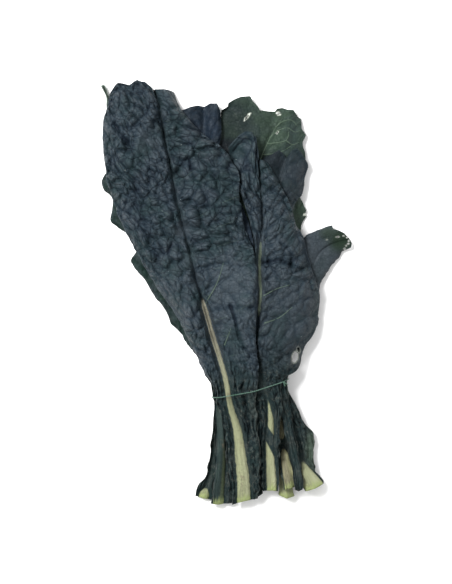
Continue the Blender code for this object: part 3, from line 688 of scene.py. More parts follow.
class Plan:
    """A leaf's grid: where each point is, and how far from the rib, the margin and the cut end."""

    def __init__(self, leaf):
        ends = (leaf.tip_left[0], leaf.tip_left[-1], leaf.tip_right[-1])
        stations = np.array(leaf.stations + [ends], float)
        knots = lengths_along(stations[:, 1])
        self.length = knots[-1]
        self.along = self.row_places(leaf.rows)
        left, rib, right = (smooth_curve(knots, stations[:, i], self.along) for i in range(3))
        self.seen = self.rib_seen(leaf, rib)
        self.rib_half = self.rib_half_width(leaf)
        self.side = column_sides(RIB_COLUMNS, leaf.blade_columns)
        shape = (leaf.rows, len(self.side))
        self.from_rib = np.zeros(shape)
        self.from_margin = np.zeros(shape)
        self.edge_share = np.zeros(shape)
        self.xy = np.zeros((*shape, 2))
        for column, side in enumerate(self.side):
            edge = left if side < 0 else right
            width = np.linalg.norm(edge - rib, axis=1)
            share = self.share_of_width(width, side)
            self.xy[:, column] = rib + (edge - rib) * share[:, None]
            self.edge_share[:, column] = share
            self.from_rib[:, column] = width * share
            self.from_margin[:, column] = width * (1 - share)
        self.shape_tip(leaf)
        self.wave_margins(leaf)
        self.x, self.y = self.xy[..., 0], self.xy[..., 1]
        self.down_leaf = self.along[:, None]
        self.on_left = self.side[None] < 0
        self.beside_rib = self.from_rib - self.rib_half[:, None]
        self.closed = 1 - self.seen[:, None]
        self.blade = smoothstep(BLADE_BEGINS, BLADE_IS_FULL, self.down_leaf / self.length)

    def by_side(self, pair):
        """The pair's first value on the left half, its second on the right half."""
        return np.where(self.on_left, pair[0], pair[1])

    def row_places(self, rows):
        """Rows stand closer together on the blade, which needs the finer relief, than on the stem."""
        at = np.linspace(0, self.length, 400)
        density = 1 / (1 + (ROW_SPREAD_AT_STEM - 1) * smoothstep(*STEM_ENDS, at))
        count = np.concatenate([[0.0], np.cumsum(0.5 * (density[1:] + density[:-1]) * np.diff(at))])
        return np.interp(np.linspace(0, count[-1], rows), count, at)

    def rib_seen(self, leaf, rib):
        """1 where the rib lies open, 0 where the two halves of the blade close over it."""
        seen = np.zeros(leaf.rows)
        for low, high, fade_below, fade_above in leaf.rib_seen:
            starts = smoothstep(low - fade_below, low, rib[:, 1])
            ends = smoothstep(high + fade_above, high, rib[:, 1])
            seen = np.maximum(seen, starts * ends)
        return seen

    def rib_half_width(self, leaf):
        """The rib narrows fast up to the tie and slowly beyond, and shows narrower where it is hidden."""
        neck = leaf.neck * leaf.rib_width
        at = (0.0, 0.5 * RIB_NECK, RIB_NECK, 0.6 * self.length, self.length)
        before_neck = RIB_BEFORE_NECK * leaf.rib_width
        widths = (leaf.rib_width, before_neck, neck, RIB_AFTER_NECK * neck, RIB_TIP_WIDTH)
        half = 0.5 * np.interp(self.along, at, widths)
        half = half + 0.5 * leaf.flare * np.clip(1 - self.along / FLARE_LENGTH, 0, 1) ** 1.5
        return half * partly(RIB_HIDDEN_SHARE, self.seen)

    def share_of_width(self, width, side):
        rib_share = np.minimum(self.rib_half / width, 0.5)
        if abs(side) <= 1:
            return abs(side) * rib_share
        return rib_share + (1 - rib_share) * (abs(side) - 1)

    def shape_tip(self, leaf):
        """The last rows bend into the outline of the leaf's tip."""
        last = self.edge_share[-1]
        left = along_edge(leaf.tip_left, 1 - last)
        right = along_edge(leaf.tip_right, last)
        tip = np.where(self.side[:, None] < 0, left, right)
        reach = min(TIP_BLEND_LENGTH, TIP_BLEND_SHARE * self.length)
        bend = smoothstep(self.length - reach, self.length, self.along)
        self.xy += bend[:, None, None] * (tip - self.xy[-1])[None]

    def wave_margins(self, leaf):
        """Broad scallops, small uneven teeth and tears beside the stem, all cut inwards."""
        share = self.along / self.length
        fade = smoothstep(BLADE_BEGINS, BLADE_IS_FULL, share) * smoothstep(1.0, 0.9, share)
        middle = self.xy[:, len(self.side) // 2][:, None]
        outward = self.xy - middle
        reach = np.maximum(np.linalg.norm(outward, axis=2, keepdims=True), 1e-6)
        place = self.along[:, None] + OTHER_MARGIN * (self.side[None] > 0)

        def inward(kinds):
            return 0.5 * (np.clip(mixed_hills(leaf, place, 0 * place, kinds), -1, 1) - 1)

        scallop = leaf.scallop * SCALLOP_DEPTH * inward(SCALLOPS) * fade[:, None] * self.edge_share**3
        wide_enough = smoothstep(*TOOTHED_WIDTHS, self.from_rib + self.from_margin)
        teeth = TOOTH_DEPTH * wide_enough * inward(TEETH) * self.edge_share**9
        near_stem = smoothstep(0.42, 0.3, share)[:, None]
        torn = TEAR_DEPTH * inward(TEARS) * near_stem * self.edge_share**4
        self.xy += outward / reach * (scallop + teeth + torn)[:, :, None]


# %% [markdown]
# ## Relief: folds, blisters and the rib
# The blade of this kale grows faster than its veins, so it puffs up between them. Side veins leave the rib
# at a slant, and the puffs line up along them. Three sizes of swelling are added together: broad ones, then
# the blisters proper, then fine crumples. Each is a height, so the blade stays one sheet without overlaps.

# %% Swellings, folds and spots
SWELLING_SPACING = 23.0
SWELLING_RADIUS = 14.3
MAP_HALF_WIDTH = 150
MAP_HALF_LENGTH = 240


def swellings(xy, seed):
    """Broad round swellings on an uneven lattice, between 0 and 1."""
    lattice = np.random.default_rng(seed)
    columns = int(2 * MAP_HALF_WIDTH / SWELLING_SPACING) + 2
    rows = int(2 * MAP_HALF_LENGTH / SWELLING_SPACING) + 2
    grid = np.stack(np.meshgrid(np.arange(columns), np.arange(rows)), axis=-1).reshape(-1, 2)
    centres = (grid + lattice.uniform(-0.35, 0.35, grid.shape)) * SWELLING_SPACING
    centres -= (MAP_HALF_WIDTH, MAP_HALF_LENGTH)
    nearest = np.full(xy.shape[:-1], np.inf)
    for centre in centres:
        nearest = np.minimum(nearest, np.hypot(xy[..., 0] - centre[0], xy[..., 1] - centre[1]))
    return np.clip(1 - (nearest / SWELLING_RADIUS) ** 2, 0, 1)


def fold_height(fold, xy):
    """A ridge, or a crease where the height is below zero, along a line drawn on the leaf."""
    line, height, width = fold
    line = np.asarray(line, float)
    nearest = np.full(xy.shape[:-1], np.inf)
    for start, end in zip(line[:-1], line[1:]):
        step = end - start
        share = np.clip(((xy - start) @ step) / (step @ step), 0, 1)
        nearest = np.minimum(nearest, np.linalg.norm(xy - start - share[..., None] * step, axis=-1))
    return height * np.exp(-((nearest / width) ** 2))


def near_spots(spots, xy):
    """How strongly each point lies in one of the round or oval spots, between 0 and 1."""
    found = np.zeros(xy.shape[:-1])
    for x, y, *reach, amount in spots:
        away = np.hypot((xy[..., 0] - x) / reach[0], (xy[..., 1] - y) / reach[-1])
        found = np.maximum(found, amount * np.exp(-(away**4)))
    return found


# %% Blisters between the slanting side veins
BEND_ACROSS = ((3.4, 26, 20), (0.5, 7, 21))
BEND_ALONG = ((3.4, 26, 22), (0.5, 7, 23))
MOOD = ((1.0, 26, 40),)
OTHER_HALF = 400.0


@dataclass
class Puff:
    """Sizes across and along the veins, height, and the width and darkness of the painted valley shade,
    change with the mood.
    """

    wide: float
    long: float
    tall: float
    valley: float
    dark: float
    mood: float


PUFFS = (
    Puff(wide=13.5, long=18.0, tall=4.9, valley=0.7, dark=0.65, mood=0.35),
    Puff(wide=7.6, long=10.0, tall=2.4, valley=0.5, dark=0.35, mood=-0.45),
    Puff(wide=4.2, long=5.2, tall=0.4, valley=0.4, dark=0.1, mood=-0.6),
)


def vein_place(leaf, plan):
    """Coordinates that run across and along the slanting side veins, bent a little by chance."""
    slope = plan.by_side(leaf.slope)
    half = plan.by_side((0.0, OTHER_HALF))
    tall = np.hypot(1, slope)
    across_veins = (plan.down_leaf - slope * plan.from_rib) / tall + half
    along_veins = (plan.from_rib + slope * plan.down_leaf) / tall + half
    across_veins = across_veins + mixed_hills(leaf, plan.x, plan.y, BEND_ACROSS)
    along_veins = along_veins + mixed_hills(leaf, plan.x, plan.y, BEND_ALONG)
    size = plan.by_side(leaf.cells)
    return across_veins / size, along_veins / size


def blister_height(leaf, plan):
    """The puffs between the veins, and a value that is 0 deep in a valley and about 1 high on a puff, with
    painted shade along the valley lines.
    """
    across, along = vein_place(leaf, plan)
    mood = mixed_hills(leaf, plan.x, plan.y, MOOD)
    calm = 1 - near_spots(leaf.calm_spots, plan.xy)
    height = np.zeros(plan.x.shape)
    swell = np.ones(plan.x.shape)
    lift = np.ones(plan.x.shape)
    for number, kind in enumerate(PUFFS):
        share = 1.0 + kind.mood * mood
        puff, gap = pillows(across / kind.wide, along / kind.long, leaf.seed + 30 + number)
        height += share * kind.tall * puff * lift
        line = np.exp(-((gap * kind.wide / kind.valley) ** 2))
        swell *= 1 - np.clip(kind.dark * share, 0, 1) * line
        swell *= partly(0.88, np.clip(puff, 0, 1))
        lift = partly(0.35, np.clip(puff, 0, 1))
    amount = np.minimum(1, partly(0.35, leaf.blister)) * calm
    return leaf.blister * calm * height, 1 - amount * (1 - swell)


# %% The rib, and the crumpled wings beside the stem
RIB_DEPTH_SHARE = 0.55
RIB_ROUNDNESS = 0.45
GROOVE_DEPTH = 0.7
GROOVE_OFFSET = 0.9
GROOVE_WIDTH = 1.1
# The wings have long gathers, wrinkles between them and a fine grain, and all but the grain wander
GATHER_HEIGHT = 2.4
GATHERS_PER_SIDE = 3
GATHER_LENGTH = 30.0
GATHER_SHADE = 0.3
WRINKLE_HEIGHT = 3.2
WRINKLE_WIDTH = 4.8
WRINKLE_LENGTH = 8.0
WRINKLE_LINE = 0.09
WRINKLE_SHADE = 0.6
OTHER_WING = 90
GRAIN = ((1.3, 3.2, 54),)
WANDER = ((1.0, 19, 50), (0.5, 8, 55))


def rib_depth(plan):
    return 2 * plan.rib_half * RIB_DEPTH_SHARE


def rib_top(plan):
    """The open rib stands up as a rounded bar, with a narrow groove on each side."""
    half = plan.rib_half[:, None]
    rounded = np.sqrt(np.clip(1 - (plan.from_rib / half) ** 2, 0, 1))
    groove = np.exp(-(((plan.beside_rib - GROOVE_OFFSET) / GROOVE_WIDTH) ** 2))
    return plan.seen[:, None] * (RIB_ROUNDNESS * half * rounded - GROOVE_DEPTH * groove)


def crumples(leaf, plan):
    """The height of the crumpled wings above a smooth blade, and the shade in their valleys."""
    wander = mixed_hills(leaf, plan.x, plan.y, WANDER)
    phase = GATHERS_PER_SIDE * math.pi * plan.edge_share + leaf.seed + plan.down_leaf / GATHER_LENGTH
    gathers = np.abs(np.sin(phase + 2.2 * wander))
    across = plan.from_rib / WRINKLE_WIDTH + OTHER_WING * plan.on_left + 0.9 * wander
    wrinkle, gap = pillows(across, plan.down_leaf / WRINKLE_LENGTH + 0.7 * wander, leaf.seed + 51)
    grain = mixed_hills(leaf, plan.x, plan.y, GRAIN)
    shade = GATHER_SHADE * (1 - gathers) + WRINKLE_SHADE * np.exp(-((gap / WRINKLE_LINE) ** 2))
    return GATHER_HEIGHT * gathers + WRINKLE_HEIGHT * wrinkle + grain, shade


# %% The height of a leaf's upper face above the level where it lies
BLADE_THICKNESS = 0.9
STEEPEST = 0.4
RIB_PRESSED_FLAT = 0.6
RIB_REACH_BELOW = 1.6
RIB_CARRIES = 22.0
RUFFLE_LENGTH = 52.0
RUFFLE_OFFSET = 2.1
CREASE_SLOPE = 0.4
CREASE_LEAST_WIDTH = 0.8
SWELLING_HEIGHT = 2.2
FREE_OF_RIB = 5.0
FREE_OF_CLOSED_RIB = 1.8
FOLD_FULLY_SHADED = 3.5
CLOSED_RIB_WIDTH = 0.8
UNDULATIONS = ((2.4, 27, 52), (1.1, 12, 53))
FOLD_SHADE = 0.8
# The share of each form that the stem's wings have
DROOP_ON_WINGS = 0.2
SWELLING_ON_WINGS = 0.3
BLISTER_ON_WINGS = 0.25
# A pillow is high over its whole width, or only in its middle on a leaf that is flat at its rib
PILLOW_STEEPNESS = 0.8
FLAT_PILLOW_STEEPNESS = 2.0


def off_rib(leaf, plan):
    """0 on the rib, 1 on the free blade. The blade begins closer to a closed rib."""
    free = smoothstep(0, FREE_OF_RIB, plan.beside_rib)
    if leaf.flat_at_rib:
        return free
    return np.maximum(free, plan.closed * plan.blade * smoothstep(0, FREE_OF_CLOSED_RIB, plan.beside_rib))


def broad_form(leaf, plan):
    """The crease along the rib, the pillow of each half, the margin's waves and its droop."""
    out = plan.edge_share
    deep = plan.by_side(leaf.crease)
    crease_width = CREASE_SLOPE * deep + CREASE_LEAST_WIDTH
    crease = deep * plan.blade * (1 - np.exp(-((plan.from_rib / crease_width) ** 2)))
    steepness = FLAT_PILLOW_STEEPNESS if leaf.flat_at_rib else PILLOW_STEEPNESS
    pillow = plan.by_side(leaf.pillow) * plan.blade * np.sin(math.pi * out) ** steepness
    turns = 2 * math.pi * plan.down_leaf / RUFFLE_LENGTH
    waves = 0.5 + 0.5 * np.sin(turns + leaf.seed + RUFFLE_OFFSET * plan.on_left)
    ruffle = leaf.ruffle * plan.blade * out**2 * waves
    droop = plan.by_side(leaf.droop) * partly(DROOP_ON_WINGS, plan.blade) * out**6
    return crease + pillow + ruffle - droop


def relief(leaf, plan):
    """The height above the resting level, and the swell value for the colours, which also carries painted
    shade in the valleys, over a closed rib and in creased folds.
    """
    free = off_rib(leaf, plan)
    wing = (1 - plan.blade) * free
    tall = leaf.swelling * SWELLING_HEIGHT * partly(SWELLING_ON_WINGS, plan.blade)
    swelling = tall * swellings(plan.xy, leaf.seed) * free
    crumple, crumple_shade = crumples(leaf, plan)
    carried = rib_depth(plan)[:, None] * np.exp(-plan.from_rib / RIB_CARRIES)
    folds = [fold_height(fold, plan.xy) for fold in leaf.folds]
    blister, swell = blister_height(leaf, plan)
    grown = partly(BLISTER_ON_WINGS, plan.blade) * free
    waving = leaf.undulation * plan.blade * free * mixed_hills(leaf, plan.x, plan.y, UNDULATIONS)
    height = broad_form(leaf, plan) + swelling + wing * crumple + carried + sum(folds)
    height = height + blister * grown + waving + rib_top(plan)
    swell = (1 - (1 - swell) * grown) * (1 - wing * crumple_shade)
    over_rib = plan.closed * plan.blade * np.exp(-((plan.from_rib / CLOSED_RIB_WIDTH) ** 2))
    creased = sum(np.clip(-fold / FOLD_FULLY_SHADED, 0, 1) for fold in folds)
    return height, swell * (1 - leaf.closed_shade * over_rib) * (1 - FOLD_SHADE * np.clip(creased, 0, 1))


# %% [markdown]
# ## Laying the leaves down
# Real leaves drape over the ones below. A height map of the pile stands in for the table and the leaves
# laid so far: the next leaf rests on a smoothed copy of it, is lifted wherever its underside would touch,
# and is then added to the map. That needs no simulation, and no leaf can pass through another.

# %% The pile as a height map
MAP_CELL = 1.0
LEAF_GAP = 0.35
STRAND_RADIUS = 0.5
STRAND_CLEARANCE = 0.45
STRAND_LEFT = (-13.0, -105.0)
STRAND_RIGHT = (61.0, -87.0)
STRAND_BOW = 3.0
STRAND_BED_HALF_WIDTH = 16.0
# Lifting stops once no point is too low by more than this. The first turns lift softly, the others exactly
CLOSE_ENOUGH = 0.02
SOFT_TURNS = 40
SOFT_LIFT = 1.4
SOFT_REACH = 3
TURNS = 60


def strand_line(x):
    """Where the strand crosses the bunch, seen from above: a shallow bow."""
    share = (x - STRAND_LEFT[0]) / (STRAND_RIGHT[0] - STRAND_LEFT[0])
    share = np.clip(share, -0.5, 1.5)
    bow = STRAND_BOW * 4 * share * (1 - share)
    return STRAND_LEFT[1] + (STRAND_RIGHT[1] - STRAND_LEFT[1]) * share - bow


def widest(values):
    """Each cell takes the highest value next to it."""
    padded = np.pad(values, 1, mode="edge")
    rows, columns = values.shape
    return np.max([padded[i : i + rows, j : j + columns] for i in range(3) for j in range(3)], axis=0)


def blurred(values, reach):
    """A soft average over a circle of about this many cells."""
    radius = max(1, int(3 * reach))
    offsets = np.arange(-radius, radius + 1)
    kernel = np.exp(-0.5 * (offsets / reach) ** 2)
    kernel /= kernel.sum()
    padded = np.pad(values, radius, mode="edge")
    across = np.apply_along_axis(np.convolve, 1, padded, kernel, mode="valid")
    return np.apply_along_axis(np.convolve, 0, across, kernel, mode="valid")


def refined(values):
    """The same grid with a point halfway between each two."""
    for axis in (0, 1):
        values = np.moveaxis(values, axis, 0)
        finer = np.empty((2 * len(values) - 1, *values.shape[1:]))
        finer[::2] = values
        finer[1::2] = 0.5 * (values[:-1] + values[1:])
        values = np.moveaxis(finer, 0, axis)
    return values


class Pile:
    """The height of what lies there so far, on a map of square cells."""

    def __init__(self):
        x = np.arange(-MAP_HALF_WIDTH, MAP_HALF_WIDTH + MAP_CELL, MAP_CELL)
        y = np.arange(-MAP_HALF_LENGTH, MAP_HALF_LENGTH + MAP_CELL, MAP_CELL)
        grid_x, grid_y = np.meshgrid(x, y)
        room = 2 * STRAND_RADIUS + 2 * STRAND_CLEARANCE
        self.floor = room * np.exp(-(((grid_y - strand_line(grid_x)) / STRAND_BED_HALF_WIDTH) ** 4))
        self.top = self.floor.copy()

    def cells(self, xy):
        column = np.rint((xy[..., 0] + MAP_HALF_WIDTH) / MAP_CELL).astype(int)
        row = np.rint((xy[..., 1] + MAP_HALF_LENGTH) / MAP_CELL).astype(int)
        return row, column

    def level(self):
        """The lowest that the next leaf may lie: on the floor itself, or a small gap above a leaf."""
        return widest(self.top + LEAF_GAP * (self.top > self.floor))

    def cover(self, reach):
        """A smooth sheet that lies on everything in the pile. A stiff leaf has a long reach."""
        level = self.level()
        sheet = level
        for _ in range(4):
            sheet = np.maximum(blurred(sheet, reach / MAP_CELL), level)
        return blurred(sheet, 0.5 * reach / MAP_CELL)

    def lift(self, bottom, xy):
        """Raises the underside softly, and at the end exactly, until it clears the pile."""
        need = self.level()[self.cells(refined(xy))]
        for turn in range(TURNS):
            short = np.clip(need - refined(bottom), 0, None)
            if short.max() < CLOSE_ENOUGH:
                break
            short = widest(short)[::2, ::2]
            bottom = bottom + (SOFT_LIFT * blurred(short, SOFT_REACH) if turn < SOFT_TURNS else short)
        return bottom

    def lay(self, top, xy):
        np.maximum.at(self.top, self.cells(refined(xy)), refined(top))


def value_on(height, xy):
    """Reads the map between its cells."""
    x = (xy[..., 0] + MAP_HALF_WIDTH) / MAP_CELL
    y = (xy[..., 1] + MAP_HALF_LENGTH) / MAP_CELL
    column, row = np.floor(x).astype(int), np.floor(y).astype(int)
    right, up = x - column, y - row
    low = height[row, column] * (1 - right) + height[row, column + 1] * right
    high = height[row + 1, column] * (1 - right) + height[row + 1, column + 1] * right
    return low * (1 - up) + high * up


# %% One leaf laid on the pile
@dataclass
class LaidLeaf:
    leaf: Leaf
    plan: Plan
    top: np.ndarray
    bottom: np.ndarray
    swell: np.ndarray
    samples: list


def upright_thickness(plan, top):
    """The blade's thickness measured upright, so more where the blade is steep."""
    points = np.dstack([plan.xy, top])
    normals = np.cross(np.gradient(points, axis=1), np.gradient(points, axis=0))
    normals /= np.maximum(np.linalg.norm(normals, axis=2, keepdims=True), 1e-9)
    return BLADE_THICKNESS / np.maximum(np.abs(normals[..., 2]), STEEPEST)


def rib_below(plan):
    """How far the rib swells out under the blade."""
    reach = RIB_REACH_BELOW * plan.rib_half[:, None]
    rounded = np.clip(1 - (plan.from_rib / reach) ** 4, 0, 1)
    return (rib_depth(plan)[:, None] + RIB_PRESSED_FLAT) * rounded


def lay_leaf(leaf, pile):
    plan = Plan(leaf)
    height, swell = relief(leaf, plan)
    floor = value_on(pile.floor, plan.xy)
    top = value_on(pile.cover(leaf.drape), plan.xy) + BLADE_THICKNESS + height
    upright = upright_thickness(plan, top)
    top = np.maximum(top, floor + upright)
    bottom = np.maximum(top - upright - rib_below(plan), floor)
    thick = top - bottom
    bottom = pile.lift(bottom, plan.xy)
    top = bottom + thick
    pile.lay(top, plan.xy)
    samples = [np.dstack([plan.xy, z]).reshape(-1, 3) for z in (top, bottom)]
    return LaidLeaf(leaf, plan, top, bottom, swell, samples)


pile = Pile()
laid_leaves = []
for leaf in LEAVES:
    laid_leaves.append(lay_leaf(leaf, pile))
    print(leaf.name, "reaches", round(float(laid_leaves[-1].top.max()), 1), "mm up")
print("the pile is", round(float(pile.top.max()), 1), "mm high")

# %% [markdown]
# ## From a sheet to a leaf with two faces
# Only the upper face is made point by point. A Geometry Nodes tree does the rest, because the rule is the
# same for every leaf: push a copy of the sheet down by the thickness stored at each point, close the sides,
# and sweep a thin round profile along the side veins, which come with the sheet as loose lines.

# %% A kit for node trees
class Kit:
    """Adds nodes to one tree, and links or fills their inputs."""

    def __init__(self, tree):
        self.tree = tree

    def feed(self, socket, value):
        if isinstance(value, bpy.types.NodeSocket):
            self.tree.links.new(value, socket)
        else:
            socket.default_value = value

    def add(self, kind, inputs=None, **settings):
        """Adds a node, sets its options, and feeds its named inputs."""
        made = self.tree.nodes.new(kind)
        for name, value in settings.items():
            setattr(made, name, value)
        for name, value in (inputs or {}).items():
            self.feed(made.inputs[name], value)
        return made

    def math(self, operation, *values):
        made = self.add("ShaderNodeMath", operation=operation)
        for socket, value in zip(made.inputs, values):
            self.feed(socket, value)
        return made.outputs[0]

    def times(self, first, second):
        return self.math("MULTIPLY", first, second)


class ShapeKit(Kit):
    """A geometry tree with a named input for each size, and one geometry output."""

    def __init__(self, name, inputs):
        super().__init__(bpy.data.node_groups.new(name, "GeometryNodeTree"))
        for label, kind in inputs.items():
            self.tree.interface.new_socket(label, in_out="INPUT", socket_type=kind)
        self.tree.interface.new_socket("Shape", in_out="OUTPUT", socket_type="NodeSocketGeometry")
        self.given = self.tree.nodes.new("NodeGroupInput").outputs
        self.result = self.tree.nodes.new("NodeGroupOutput").inputs["Shape"]

    def shape(self, kind, inputs=None, **settings):
        """The first output of a new node."""
        return self.add(kind, inputs, **settings).outputs[0]

    def stored(self, name, data_type="FLOAT"):
        return self.shape("GeometryNodeInputNamedAttribute", {"Name": name}, data_type=data_type)

    def joined(self, *shapes):
        join = self.add("GeometryNodeJoinGeometry")
        for shape in shapes:
            self.tree.links.new(shape, join.inputs[0])
        return join.outputs[0]

    def ring(self, sides, radius):
        return self.shape("GeometryNodeCurvePrimitiveCircle", {"Resolution": sides, "Radius": radius})

    def finish(self, shape):
        """Both trees end alike, with real geometry, smooth faces and the given finish."""
        real = self.shape("GeometryNodeRealizeInstances", {"Geometry": shape})
        smooth = self.shape("GeometryNodeSetShadeSmooth", {"Geometry": real})
        finish = {"Geometry": smooth, "Material": self.given["Finish"]}
        self.tree.links.new(self.shape("GeometryNodeSetMaterial", finish), self.result)
        return self.tree


def run_tree(obj, tree, values):
    """Runs the tree on the object with these input values, and keeps the result as a plain mesh."""
    modifier = obj.modifiers.new(tree.name, "NODES")
    modifier.node_group = tree
    for item in tree.interface.items_tree:
        if item.item_type == "SOCKET" and item.in_out == "INPUT" and item.name in values:
            modifier[item.identifier] = values[item.name]
    graph = bpy.context.evaluated_depsgraph_get()
    return bpy.data.meshes.new_from_object(obj.evaluated_get(graph))


def placed(name, data):
    """A new object in the scene, at the origin and unturned."""
    obj = bpy.data.objects.new(name, data)
    bpy.context.scene.collection.objects.link(obj)
    return obj


# %% The tree that turns a sheet into a leaf
def leaf_body_tree():
    kit = ShapeKit(
        "leaf_body",
        {
            "Sheet": "NodeSocketGeometry",
            "Join Within": "NodeSocketFloat",
            "Vein Sides": "NodeSocketInt",
            "Finish": "NodeSocketMaterial",
        },
    )
    chosen = {"Geometry": kit.given["Sheet"], "Selection": kit.stored("is_vein", "BOOLEAN")}
    parts = kit.add("GeometryNodeSeparateGeometry", chosen, domain="POINT").outputs
    blade = parts["Inverted"]
    push = {"Mesh": blade, "Offset Scale": 0.0, "Individual": False}
    pushed = kit.add("GeometryNodeExtrudeMesh", push, mode="FACES").outputs
    lower = pushed["Top"]
    down = kit.shape("ShaderNodeCombineXYZ", {"Z": kit.times(kit.stored("depth"), -1.0)})
    move = {"Geometry": pushed["Mesh"], "Selection": lower, "Offset": down}
    mark = {
        "Geometry": kit.shape("GeometryNodeSetPosition", move),
        "Selection": lower,
        "Name": "underside",
        "Value": 1.0,
    }
    marked = kit.shape("GeometryNodeStoreNamedAttribute", mark, data_type="FLOAT", domain="POINT")
    flipped = kit.shape("GeometryNodeFlipFaces", {"Mesh": marked})
    merge = {"Geometry": kit.joined(flipped, blade), "Distance": kit.given["Join Within"]}
    closed = kit.shape("GeometryNodeMergeByDistance", merge)
    sweep = {
        "Curve": kit.shape("GeometryNodeMeshToCurve", {"Mesh": parts["Selection"]}),
        "Profile Curve": kit.ring(kit.given["Vein Sides"], 1.0),
        "Scale": kit.stored("vein_radius"),
        "Fill Caps": True,
    }
    veins = kit.shape("GeometryNodeCurveToMesh", sweep)
    return kit.finish(kit.joined(veins, closed))


body_tree = leaf_body_tree()
print("the leaf's tree has", len(body_tree.nodes), "nodes")

# %% [markdown]
# ## The leaf's skin
# A kale leaf is not one colour. The valleys between blisters get painted shade, the tops carry a grey, waxy
# bloom, the rib is pale and fibrous, and the cut end is a wet yellow green. The sheet's stored distances
# place each of these exactly, and noise textures at real sizes break them up.

# %% A kit for wiring a material
class Skin(Kit):
    """Collects the nodes of one material. Sizes are in millimetres."""

    def __init__(self, name):
        self.material = bpy.data.materials.new(name)
        self.material.use_nodes = True
        super().__init__(self.material.node_tree)
        self.shader = self.tree.nodes["Principled BSDF"]
        self.object_place = self.add("ShaderNodeTexCoord").outputs["Object"]

    def number(self, name):
        return self.add("ShaderNodeAttribute", attribute_name=name).outputs["Fac"]

    def vector(self, name):
        return self.add("ShaderNodeAttribute", attribute_name=name).outputs["Vector"]

    def between(self, value, low, high, to_low=0.0, to_high=1.0):
        """Runs smoothly from to_low to to_high while the value goes from low to high."""
        ends = {"Value": value, "From Min": low, "From Max": high, "To Min": to_low, "To Max": to_high}
        return self.add("ShaderNodeMapRange", ends, interpolation_type="SMOOTHSTEP").outputs["Result"]

    def fade(self, value, start, end, most=1.0):
        """Strongest where the value is at the start, and gone where it reaches the end."""
        return self.between(value, start, end, most, 0.0)

    def mix(self, share, first, second, mode="MIX"):
        """Inputs 0, 6 and 7 of the mix node are the share and the two colours, and output 2 is the result."""
        made = self.add("ShaderNodeMix", data_type="RGBA", blend_type=mode)
        for index, value in ((0, share), (6, first), (7, second)):
            self.feed(made.inputs[index], (*value, 1.0) if isinstance(value, tuple) else value)
        return made.outputs[2]

    def stretched(self, place, scale):
        return self.add("ShaderNodeMapping", {"Vector": place, "Scale": scale}).outputs[0]

    def noise(self, size, place=None, detail=2.0, roughness=0.5):
        inputs = {"Vector": place or self.object_place, "Scale": 1 / (size * MM)}
        inputs |= {"Detail": detail, "Roughness": roughness}
        return self.add("ShaderNodeTexNoise", inputs).outputs["Fac"]

    def patches(self, size, low, high, most=1.0, **kind):
        """Uneven patches of about this size, where the noise rises from low to high."""
        return self.between(self.noise(size, **kind), low, high, 0.0, most)

    def cells(self, size, feature="F1"):
        inputs = {"Vector": self.object_place, "Scale": 1 / (size * MM)}
        return self.add("ShaderNodeTexVoronoi", inputs, feature=feature).outputs

    def bump(self, height, depth, before=None):
        inputs = {"Height": height, "Distance": depth * MM, "Strength": 1.0}
        if before is not None:
            inputs["Normal"] = before
        return self.add("ShaderNodeBump", inputs).outputs[0]

    def finish(self, color, rough, normal):
        self.feed(self.shader.inputs["Base Color"], color)
        self.feed(self.shader.inputs["Roughness"], rough)
        self.feed(self.shader.inputs["Normal"], normal)
        return self.material


# %% The colours of each kind of leaf
@dataclass
class Look:
    # The colour of the painted shade in the valleys and creases
    valley: tuple
    blade: tuple
    puff: tuple
    patch: tuple
    underside: tuple = (0.06, 0.085, 0.065)
    veins: float = 0.25
    bloom: float = 0.35


@dataclass
class RibTone:
    """A rib's ground colour, its dark streaks, its light fibres, and its duller colour far from the cut."""

    body: tuple = (0.285, 0.302, 0.178)
    streak: tuple = (0.17, 0.175, 0.11)
    light: tuple = (0.355, 0.37, 0.23)
    far: tuple = (0.140, 0.132, 0.105)


RIB_TONES = {
    "pale": RibTone(),
    "greenish": RibTone(far=(0.095, 0.122, 0.095)),
    "olive": RibTone(
        body=(0.030, 0.047, 0.044),
        streak=(0.016, 0.028, 0.028),
        light=(0.095, 0.12, 0.065),
        far=(0.10, 0.12, 0.10),
    ),
    "brownish": RibTone(
        body=(0.22, 0.21, 0.13),
        streak=(0.11, 0.105, 0.08),
        light=(0.29, 0.29, 0.16),
        far=(0.09, 0.125, 0.085),
    ),
}
RIB_BRUISE = (0.15, 0.12, 0.085)
CUT_GREEN = (0.27, 0.32, 0.13)
VEIN_PALE = (0.085, 0.12, 0.085)
BLOOM = (0.060, 0.073, 0.086)
WING_PAINTED_SHADE = (0.002, 0.006, 0.007)
WING_GREEN = (0.012, 0.025, 0.024)
WING_GREY = (0.047, 0.057, 0.053)
WING_SCUFF = (0.085, 0.092, 0.080)
SPECK = (0.40, 0.46, 0.44)
PAPERY_AND_PAINTED_LIGHT = (0.62, 0.66, 0.58)
